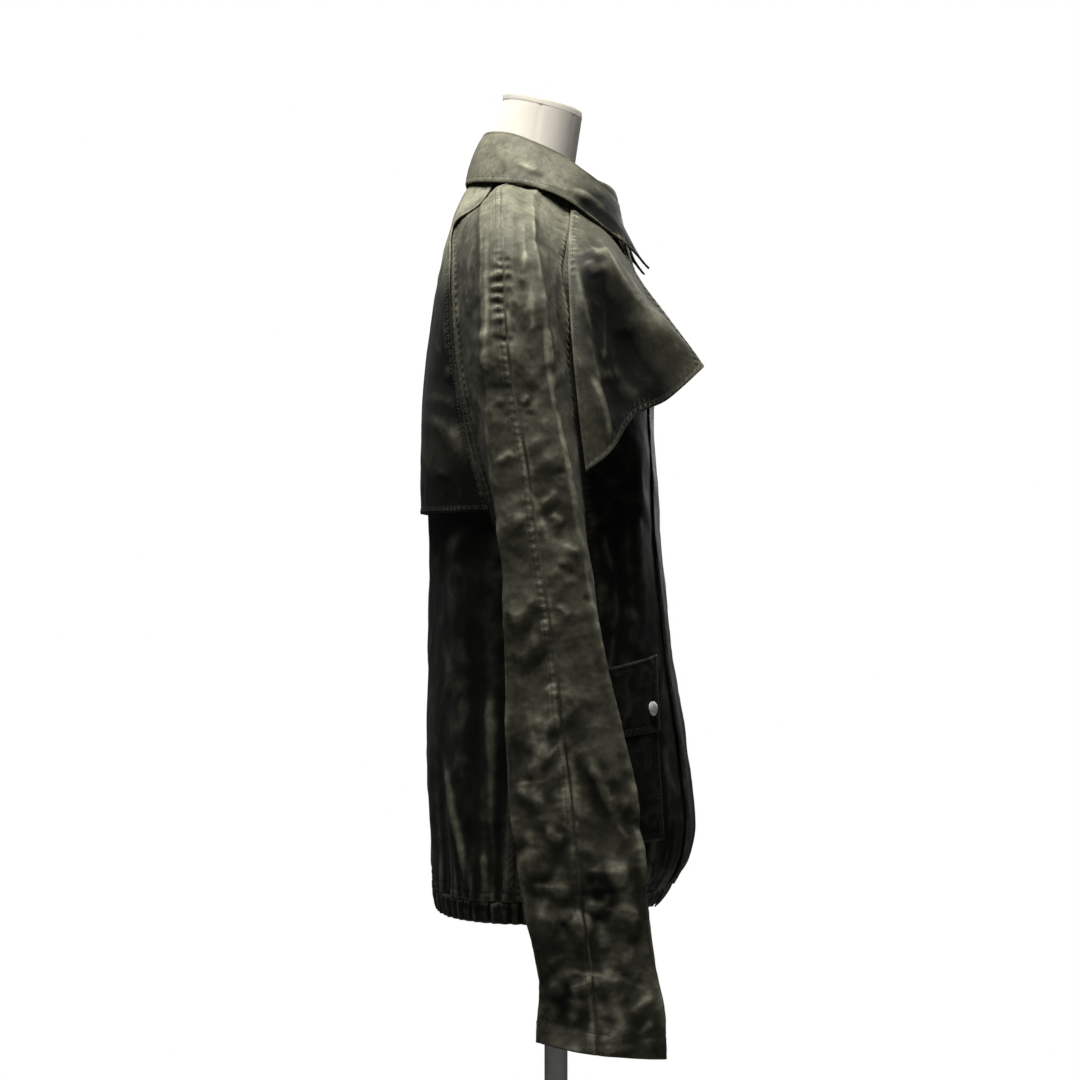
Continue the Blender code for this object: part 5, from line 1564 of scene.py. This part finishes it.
def build_pockets(context):
    """A patch pocket, its flap and the flap's snap, on each front."""
    sizes = context.scene.trench_coat.sizes
    colour = tuple(context.scene.trench_coat.colours.nickel)
    nickel = satin_metal("snap_nickel_cap", colour, (1, 1, 1), 0.42, 0.45)
    for side, right in (("right", True), ("left", False)):
        seed = 601 if right else 651
        for part, first, last, rows, lift, cut, depth in (
            ("pocket", POCKET_TOP, POCKET_BOTTOM, 88, POCKET_LIFT, (0.165, 0.195), 0.0075),
            ("pocket_flap", POCKET_FLAP_TOP, POCKET_FLAP_BOTTOM, 44, 2 * POCKET_LIFT, (0.165, 0.085), 0.0065),
        ):
            grid, _ = patch(np.linspace(first, last, rows + 1), POCKET_FRONT_Y, POCKET_BACK_Y,
                            POCKET_STEPS, lift)
            across, run = distances(grid)
            place = grid * MIRROR if right else grid
            edge = np.minimum(from_sides(across), run[-1:] - run)
            bulge = smooth(edge / 0.03) * 0.0012
            rise = waves(place, seed, 0.04, 0.10) * 0.0006 + crumpled(place, seed + 1, 0.02, 0.05) * 0.0005
            rise = rise * smooth(edge / 0.01) * sizes.crumple + bulge
            rise += hem_band(edge, depth, across + run, seed + 2, sizes.puckers * 0.6)
            if part == "pocket":
                rise += hem_band(run, 0.02, across, seed + 3, sizes.puckers * 0.4)
            cloth(context, f"coat_{part}_{side}", grid, rise, [f"{part}_{side}"], 0.06, right=right,
                  step=4)
        station = np.array((-0.1, 0.0, 0.1)) + SNAP_STATION
        seat, out = patch(station, SNAP_Y[:1] * 2, SNAP_Y[1:] * 2, 1, 2 * POCKET_LIFT + SNAP_SEAT + 0.0016)
        turned = np.array(MIRROR if right else (1, 1, 1))
        snap = lathe(f"snap_cap_{side}", SNAP_PROFILE, seat[1, 1] * turned, out[1, 1] * turned, 48)
        fitted(snap, nickel, "snap_nickel", f"snap_{side}")


def lathe(name, profile, seat, axis, sides):
    """A solid of revolution: the profile's radii and heights carried round the axis from the seat, and
    closed with a fan at each end."""
    axis = unit(np.asarray(axis, float))
    reference = np.array((0, 0, 1.0)) if abs(axis[2]) < 0.9 else np.array((1.0, 0, 0))
    side = unit(np.cross(axis, reference))
    up = np.cross(axis, side)
    angle = np.linspace(0, 2 * math.pi, sides, endpoint=False)[None, :, None]
    radius, height = np.array(profile).T[:, :, None, None]
    points = seat + (np.cos(angle) * side + np.sin(angle) * up) * radius + axis * height
    return capped(name, points)


def build_hem(context):
    """The gathered casing along the hem, one piece for each panel, continuing the panels' gathers."""
    sizes = context.scene.trench_coat.sizes
    stations = np.linspace(SKIRT_END - HEM_TUCK, HEM_END, HEM_ROWS + 1)
    depth = GATHER_DEPTH * (0.75 + 0.25 * smooth((stations - SKIRT_END) / 0.5))[:, None]
    back_turn = seam_turns(stations)[0]
    across = np.linspace(-1, 1, BACK_GATHERS * GATHER_STEPS + 1)[None]
    grid = body_points(stations, across * (back_turn - 0.001)[:, None])
    rise = gathers((across + 1) / 2, BACK_GATHERS) * depth
    pieces = [("back", grid, rise, (0.46, 0.032), False, 701)]
    share = np.linspace(0, 1, FRONT_GATHERS * GATHER_STEPS + 1)[None]
    for side, widths, right, cut in (
        ("left", UPPER_OVERLAP, False, (0.37, 0.032)), ("right", UNDER_OVERLAP, True, (0.33, 0.032)),
    ):
        end = math.pi + front_overlap(stations, widths)
        start = seam_turns(stations)[1] + 0.001
        grid = body_points(stations, start[:, None] + (end - start)[:, None] * share)
        grid = lapped(grid, 0.0 if right else HEM_LIFT)
        flat = np.where(grid[..., 0] < FLAT_GATHERS_X, FLAT_GATHERS_SHARE, 1.0)
        rise = gathers(share, FRONT_GATHERS) * depth * flat
        pieces.append((side, grid, rise, cut, right, 711 if right else 721))
    for side, grid, rise, cut, right, seed in pieces:
        across, run = distances(grid)
        below = smooth((stations[:, None] - SKIRT_END - 0.02) / 0.06)
        bulge = 0.0012 * np.sin(np.pi * run / run[-1:])
        rise = (rise + bulge) * below - HEM_INSET_DEPTH * (1 - below)
        rise += puckers(run, across, seed, sizes.puckers, 0.0065, 0.005)
        rise += waves(grid, seed + 1, 0.01, 0.03) * 0.0003
        cloth(context, f"coat_hem_casing_{side}", grid, rise, [f"hem_casing_{side}"], 0.12,
              right=right, step=4)


# ---------------------------------------------------------------- stitches

def inset(name, edge, distance):
    """(points, normals): a line on a cloth piece that keeps its distance from one of its edges."""
    points, normals = SEWN[name]
    if edge in ("top", "bottom"):
        points, normals = points.transpose(1, 0, 2), normals.transpose(1, 0, 2)
    if edge in ("end", "bottom"):
        points, normals = points[:, ::-1], normals[:, ::-1]
    run = distances(points)[0]
    before = np.clip((run < distance).sum(axis=1) - 1, 0, run.shape[1] - 2)
    row = np.arange(len(points))
    start, end = run[row, before], run[row, before + 1]
    share = ((distance - start) / (end - start + TINY))[:, None]
    line = points[row, before] * (1 - share) + points[row, before + 1] * share
    out = unit(normals[row, before] * (1 - share) + normals[row, before + 1] * share)
    return line, out


def stitch_row(line, out, sizes):
    """Points and faces of a row of stitches: each a slim spindle with four sides, lying on the line."""
    run = np.concatenate(((0,), np.cumsum(np.linalg.norm(np.diff(line, axis=0), axis=1))))
    pitch = sizes.stitch + sizes.stitch_gap
    count = max(1, int(run[-1] / pitch))
    at = (np.arange(count) + 0.5) * run[-1] / count
    place = np.stack([np.interp(at, run, line[:, axis]) for axis in range(3)], -1)
    ahead = np.stack([np.interp(at + sizes.stitch / 3, run, line[:, axis]) for axis in range(3)], -1)
    normal = unit(np.stack([np.interp(at, run, out[:, axis]) for axis in range(3)], -1))
    course = unit(ahead - place)
    side = unit(np.cross(course, normal))
    normal = np.cross(side, course)
    half, thick = sizes.stitch / 2, sizes.thread / 2
    template = [(-half, 0, -0.5)]
    for x in (-0.55 * half, 0.55 * half):
        template += [(x, 1, 0), (x, 0, 1), (x, -1, 0), (x, 0, -1)]
    template.append((half, 0, -0.5))
    template = np.array(template)
    points = place[:, None] + course[:, None] * template[None, :, :1]
    points = points + side[:, None] * template[None, :, 1:2] * thick
    points = points + normal[:, None] * template[None, :, 2:] * thick
    points = points + normal[:, None] * thick * 0.35
    quads = [(1 + i, 1 + (i + 1) % 4, 5 + (i + 1) % 4, 5 + i) for i in range(4)]
    fans = [(0, 1 + (i + 1) % 4, 1 + i) for i in range(4)] + [(9, 5 + i, 5 + (i + 1) % 4) for i in range(4)]
    shift = 10 * np.arange(count)[:, None, None]
    quads, fans = np.array(quads) + shift, np.array(fans) + shift
    return points.reshape(-1, 3), quads.reshape(-1, 4), fans.reshape(-1, 3)


def rows_along(piece, offsets, edges=("start", "end", "bottom")):
    """Rows of stitches (piece, edge, distance from it in millimetres): each offset along every edge."""
    return tuple((piece, edge, offset) for offset in offsets for edge in edges)


BOTTOM = ("bottom",)
FREE_EDGES = ("bottom", "start", "end")

# Rows of stitches on each group of pieces.
STITCHES = {
    "body": (
        *rows_along("coat_back", (7.5, 1.8), ("start", "end")),
        *rows_along("coat_front_left", (9.0, 42.0), ("end",)),
        *rows_along("coat_front_right", (9.0,), ("start",)),
        *(row for piece in ("back", "front_left", "front_right")
          for row in rows_along(f"coat_{piece}", (9.0,), BOTTOM)),
    ),
    "sleeves": (
        *rows_along("coat_sleeve_back_left", (1.8, 7.5), ("end",)),
        *rows_along("coat_sleeve_back_right", (1.8, 7.5), ("start",)),
        *(row for side in ("left", "right") for part in ("back", "front")
          for row in rows_along(f"coat_sleeve_{part}_{side}", (22.0,), BOTTOM)),
    ),
    "cape": (
        *rows_along("coat_storm_cape", (5.5,), FREE_EDGES),
        *rows_along("coat_gun_flap", (6.0,), ("bottom", "start")),
        *rows_along("coat_gun_flap", (4.0,), ("end",)),
        *rows_along("coat_collar", (6.5,), FREE_EDGES),
    ),
    "pockets": (
        *(row for side in ("left", "right") for row in rows_along(f"coat_pocket_{side}", (1.8, 7.5))),
        *(row for side in ("left", "right") for row in (
            *rows_along(f"coat_pocket_flap_{side}", (6.5,)), (f"coat_pocket_flap_{side}", "top", 2.0))),
    ),
    "hem": tuple((f"coat_hem_casing_{side}", "top", 2.5) for side in ("back", "left", "right")),
}


def build_stitches(context):
    """All the rows of stitches, one object for each group of pieces."""
    sizes = context.scene.trench_coat.sizes
    for group, rows in STITCHES.items():
        points, quads, fans = [], [], []
        start = 0
        for name, edge, distance in rows:
            p, q, f = stitch_row(*inset(name, edge, distance * MM), sizes)
            points.append(p)
            quads.append(q + start)
            fans.append(f + start)
            start += len(p)
        made = new_mesh(f"stitches_{group}", *(np.concatenate(parts) for parts in (points, quads, fans)))
        fitted(made, sewing_thread(context), "waxed_cotton")


# ---------------------------------------------------------------- dress form

# The turns of the torso's seams, from the middle of the back round to it.
FORM_SEAMS = (0.0, 0.55, math.pi / 2, 2.5, math.pi, 2 * math.pi - 2.5, 1.5 * math.pi, 2 * math.pi - 0.55)


def form_ring(row, turn):
    """A ring of the form: an oval |x/a|^p + |y/b|^p = 1, tilted about its widest line."""
    z, tilt, half, front_y, wide_y, back_y, power = row
    cosine, sine = np.cos(turn), np.sin(turn)
    power = np.where(cosine >= 0, FORM_BACK_POWER, power)
    depth = np.where(cosine >= 0, back_y - wide_y, wide_y - front_y)
    x = half * np.sign(sine) * np.abs(sine) ** (2 / power)
    reach = depth * np.sign(cosine) * np.abs(cosine) ** (2 / power)
    return np.stack((x, wide_y + reach, z + tilt * reach), -1)


def lofted(name, rings):
    """A closed solid through rings that run from top to bottom, with a UV map round and down it."""
    sides = rings.shape[1]
    made = capped(name, rings)
    run = np.concatenate((np.zeros((1, sides)), np.cumsum(np.linalg.norm(np.diff(rings, axis=0), axis=2), 0)))
    angle = np.linspace(0, 1, sides, endpoint=False)
    uv = np.stack((np.broadcast_to(angle, run.shape), run), -1).reshape(-1, 2)
    lay_out(made, np.concatenate((uv, [(0.5, 0.0), (0.5, run.max())])))
    made.data.set_sharp_from_angle(angle=math.radians(40))
    return made


def build_form(context):
    """The limbless form: torso with princess seams and neck, neck cap, pole and turned base."""
    colours = context.scene.trench_coat.colours
    jersey = form_jersey(context)
    steel = satin_metal("brushed_steel", tuple(colours.steel), (1, 1, 12), 0.34)
    sides = 120
    turn = np.linspace(0, 2 * math.pi, sides, endpoint=False)
    table = np.column_stack((np.arange(len(FORM_SECTIONS)), FORM_SECTIONS))
    stations = np.linspace(0, len(FORM_SECTIONS) - 1, 17 * 8 + 1)
    rings = np.stack([form_ring(row, turn) for row in through(table, stations)])
    out = unit(rings - rings.mean(axis=1, keepdims=True))
    seams = np.zeros((1, sides))
    for angle in FORM_SEAMS:
        gap = np.abs((turn - angle + math.pi) % (2 * math.pi) - math.pi)
        seams = seams + np.exp(-((gap / 0.03) ** 2))
    soft = waves(rings, 801, 0.05, 0.2) * 0.0002
    rings = rings + out * (soft - 0.0006 * seams)[..., None]
    torso = lofted("form_torso_cover", rings)
    cap_rings = []
    z, tilt, half, front_y, wide_y, back_y, power = FORM_SECTIONS[0]
    for rise, shrink in reversed(NECK_CAP_PROFILE):
        cap_rings.append(form_ring(
            (z + rise, tilt, half - shrink, front_y + shrink, wide_y, back_y - shrink, power), turn))
    cap = lofted("form_neck_cover", np.stack(cap_rings))
    for made, node in ((torso, "form_torso"), (cap, "form_neck_cap")):
        fitted(made, jersey, "form_jersey", node)
    bottom, top = BASE_HEIGHT + 0.0003, FORM_SECTIONS[-1][0] - 0.0003
    pole = lathe("form_pole_tube", ((POLE_RADIUS, bottom), (POLE_RADIUS, top)), np.zeros(3), UPWARDS, 64)
    profile = [row for row in reversed(BASE_PROFILE) if row[0] > 0]
    base = lathe("form_base_disc", profile, np.zeros(3), UPWARDS, 128)
    for made, node in ((pole, "form_pole"), (base, "form_base")):
        made.data.set_sharp_from_angle(angle=math.radians(50))
        fitted(made, steel, "stand_steel", node)


# ---------------------------------------------------------------- stage

CAMERA_PLACE = (-3.0, 0.01728, 1.05)
CAMERA_LENS = 36 * 3.0 / 1.1664

# The floor's outline, radius and height: a thin slab, with its top just under the base.
FLOOR_PROFILE = ((0.001, -0.02), (2.1, -0.02), (2.1, -0.0006), (1.2, -0.0006), (0.001, -0.0006))

# The area lights: name, which is also the name of its power, size, place and the point that it faces.
LIGHTS = (
    ("overhead", 0.8, (-0.38, 0.15, 2.6), (-0.2, 0.0, 1.2)),
    ("fill", 1.6, (-2.6, -2.4, 1.6), (0.0, 0.0, 1.0)),
    ("far_side", 1.6, (2.8, -1.0, 1.9), (0.0, 0.0, 1.0)),
)


def build_stage(context):
    """A pale floor, soft overhead light, a weak fill, a light for the far side, and the camera level with
    the coat's waist. The camera sees a white background, which gives only a faint light itself."""
    studio = context.scene.trench_coat.studio
    scene = context.scene
    g = Graph("studio_floor")
    grain = g.noise(18.0, 4.0)
    base = g.mix(grain, tuple(0.97 * c for c in studio.floor), tuple(studio.floor))
    g.set(Base_Color=base, Roughness=g.stretch(grain, 0.3, 0.7, 0.75, 0.85),
          Normal=g.bump(grain, 0.0003, 0.2))
    floor = lathe("studio_floor", FLOOR_PROFILE, np.zeros(3), UPWARDS, 128)
    floor.data.materials.append(g.material)
    world = bpy.data.worlds.new("studio")
    scene.world = world
    world.use_nodes = True
    tree = world.node_tree
    tree.nodes.clear()
    path = tree.nodes.new("ShaderNodeLightPath")
    seen = tree.nodes.new("ShaderNodeBackground")
    seen.inputs["Color"].default_value = (1, 1, 1, 1)
    seen.inputs["Strength"].default_value = 1.0
    lit = tree.nodes.new("ShaderNodeBackground")
    lit.inputs["Color"].default_value = (0.96, 0.98, 1, 1)
    lit.inputs["Strength"].default_value = studio.ambient
    both = tree.nodes.new("ShaderNodeMixShader")
    out = tree.nodes.new("ShaderNodeOutputWorld")
    tree.links.new(path.outputs["Is Camera Ray"], both.inputs[0])
    tree.links.new(lit.outputs[0], both.inputs[1])
    tree.links.new(seen.outputs[0], both.inputs[2])
    tree.links.new(both.outputs[0], out.inputs["Surface"])
    for name, size, place, target in LIGHTS:
        light = bpy.data.lights.new(name, "AREA")
        light.shape = "RECTANGLE"
        light.size = light.size_y = size
        light.energy = getattr(studio, name)
        lamp = bpy.data.objects.new(name, light)
        lamp.location = place
        aim = unit(np.array(target) - np.array(place))
        lamp.rotation_euler = (math.acos(-aim[2]), 0.0, math.atan2(aim[1], aim[0]) - math.pi / 2)
        scene.collection.objects.link(lamp)
    view = bpy.data.cameras.new("camera")
    view.lens = CAMERA_LENS
    view.clip_end = 50
    camera = bpy.data.objects.new("camera", view)
    camera.location = CAMERA_PLACE
    camera.rotation_euler = (math.pi / 2, 0, -math.pi / 2)
    scene.collection.objects.link(camera)
    scene.camera = camera
    scene.view_settings.view_transform = "Standard"
    scene.view_settings.look = "None"


# ---------------------------------------------------------------- add-on

class COAT_OT_body(Operator):
    """Build the back and the two fronts"""
    bl_idname = "coat.body"
    bl_label = "Back and fronts"

    def execute(self, context):
        build_body(context)
        return {"FINISHED"}


class COAT_OT_sleeves(Operator):
    """Build the four pieces of the raglan sleeves"""
    bl_idname = "coat.sleeves"
    bl_label = "Sleeves"

    def execute(self, context):
        build_sleeves(context)
        return {"FINISHED"}


class COAT_OT_cape(Operator):
    """Build the storm cape over the back"""
    bl_idname = "coat.cape"
    bl_label = "Storm cape"

    def execute(self, context):
        build_cape(context)
        return {"FINISHED"}


class COAT_OT_flap(Operator):
    """Build the loose gun flap"""
    bl_idname = "coat.flap"
    bl_label = "Gun flap"

    def execute(self, context):
        build_flap(context)
        return {"FINISHED"}


class COAT_OT_collar(Operator):
    """Build the turned-down collar with its stand"""
    bl_idname = "coat.collar"
    bl_label = "Collar"

    def execute(self, context):
        build_collar(context)
        return {"FINISHED"}


class COAT_OT_pockets(Operator):
    """Build the patch pockets, their flaps and snaps"""
    bl_idname = "coat.pockets"
    bl_label = "Pockets"

    def execute(self, context):
        build_pockets(context)
        return {"FINISHED"}


class COAT_OT_hem(Operator):
    """Build the gathered casing at the hem"""
    bl_idname = "coat.hem"
    bl_label = "Hem casing"

    def execute(self, context):
        build_hem(context)
        return {"FINISHED"}


class COAT_OT_stitches(Operator):
    """Sew the finished pieces: every row of stitches"""
    bl_idname = "coat.stitches"
    bl_label = "Stitches"

    def execute(self, context):
        build_stitches(context)
        return {"FINISHED"}


class COAT_OT_form(Operator):
    """Build the dress form and its stand"""
    bl_idname = "coat.form"
    bl_label = "Dress form"

    def execute(self, context):
        build_form(context)
        return {"FINISHED"}


class COAT_OT_stage(Operator):
    """Build the floor, the lights and the camera"""
    bl_idname = "coat.stage"
    bl_label = "Studio"

    def execute(self, context):
        build_stage(context)
        return {"FINISHED"}


OPERATORS = (
    COAT_OT_stage, COAT_OT_form, COAT_OT_body, COAT_OT_sleeves, COAT_OT_cape, COAT_OT_flap, COAT_OT_collar,
    COAT_OT_pockets, COAT_OT_hem, COAT_OT_stitches,
)


class COAT_PT_panel(Panel):
    """The coat's pieces and settings"""
    bl_idname = "COAT_PT_panel"
    bl_label = "Trench coat"
    bl_space_type = "VIEW_3D"
    bl_region_type = "UI"
    bl_category = "Trench coat"

    def draw(self, context):
        settings = context.scene.trench_coat
        for group in (settings.sizes, settings.colours, settings.studio):
            box = self.layout.box()
            for field in group.bl_rna.properties:
                if field.identifier not in ("rna_type", "name"):
                    box.prop(group, field.identifier)
        for operator in OPERATORS:
            self.layout.operator(operator.bl_idname)


CLASSES = (CoatSizes, CoatColours, StudioSettings, TrenchCoatSettings, *OPERATORS, COAT_PT_panel)


def register():
    for cls in CLASSES:
        bpy.utils.register_class(cls)
    bpy.types.Scene.trench_coat = PointerProperty(type=TrenchCoatSettings)


def unregister():
    del bpy.types.Scene.trench_coat
    for cls in reversed(CLASSES):
        bpy.utils.unregister_class(cls)


def main():
    register()
    for operator in OPERATORS:
        group, name = operator.bl_idname.split(".")
        getattr(getattr(bpy.ops, group), name)()


if __name__ == "__main__":
    main()
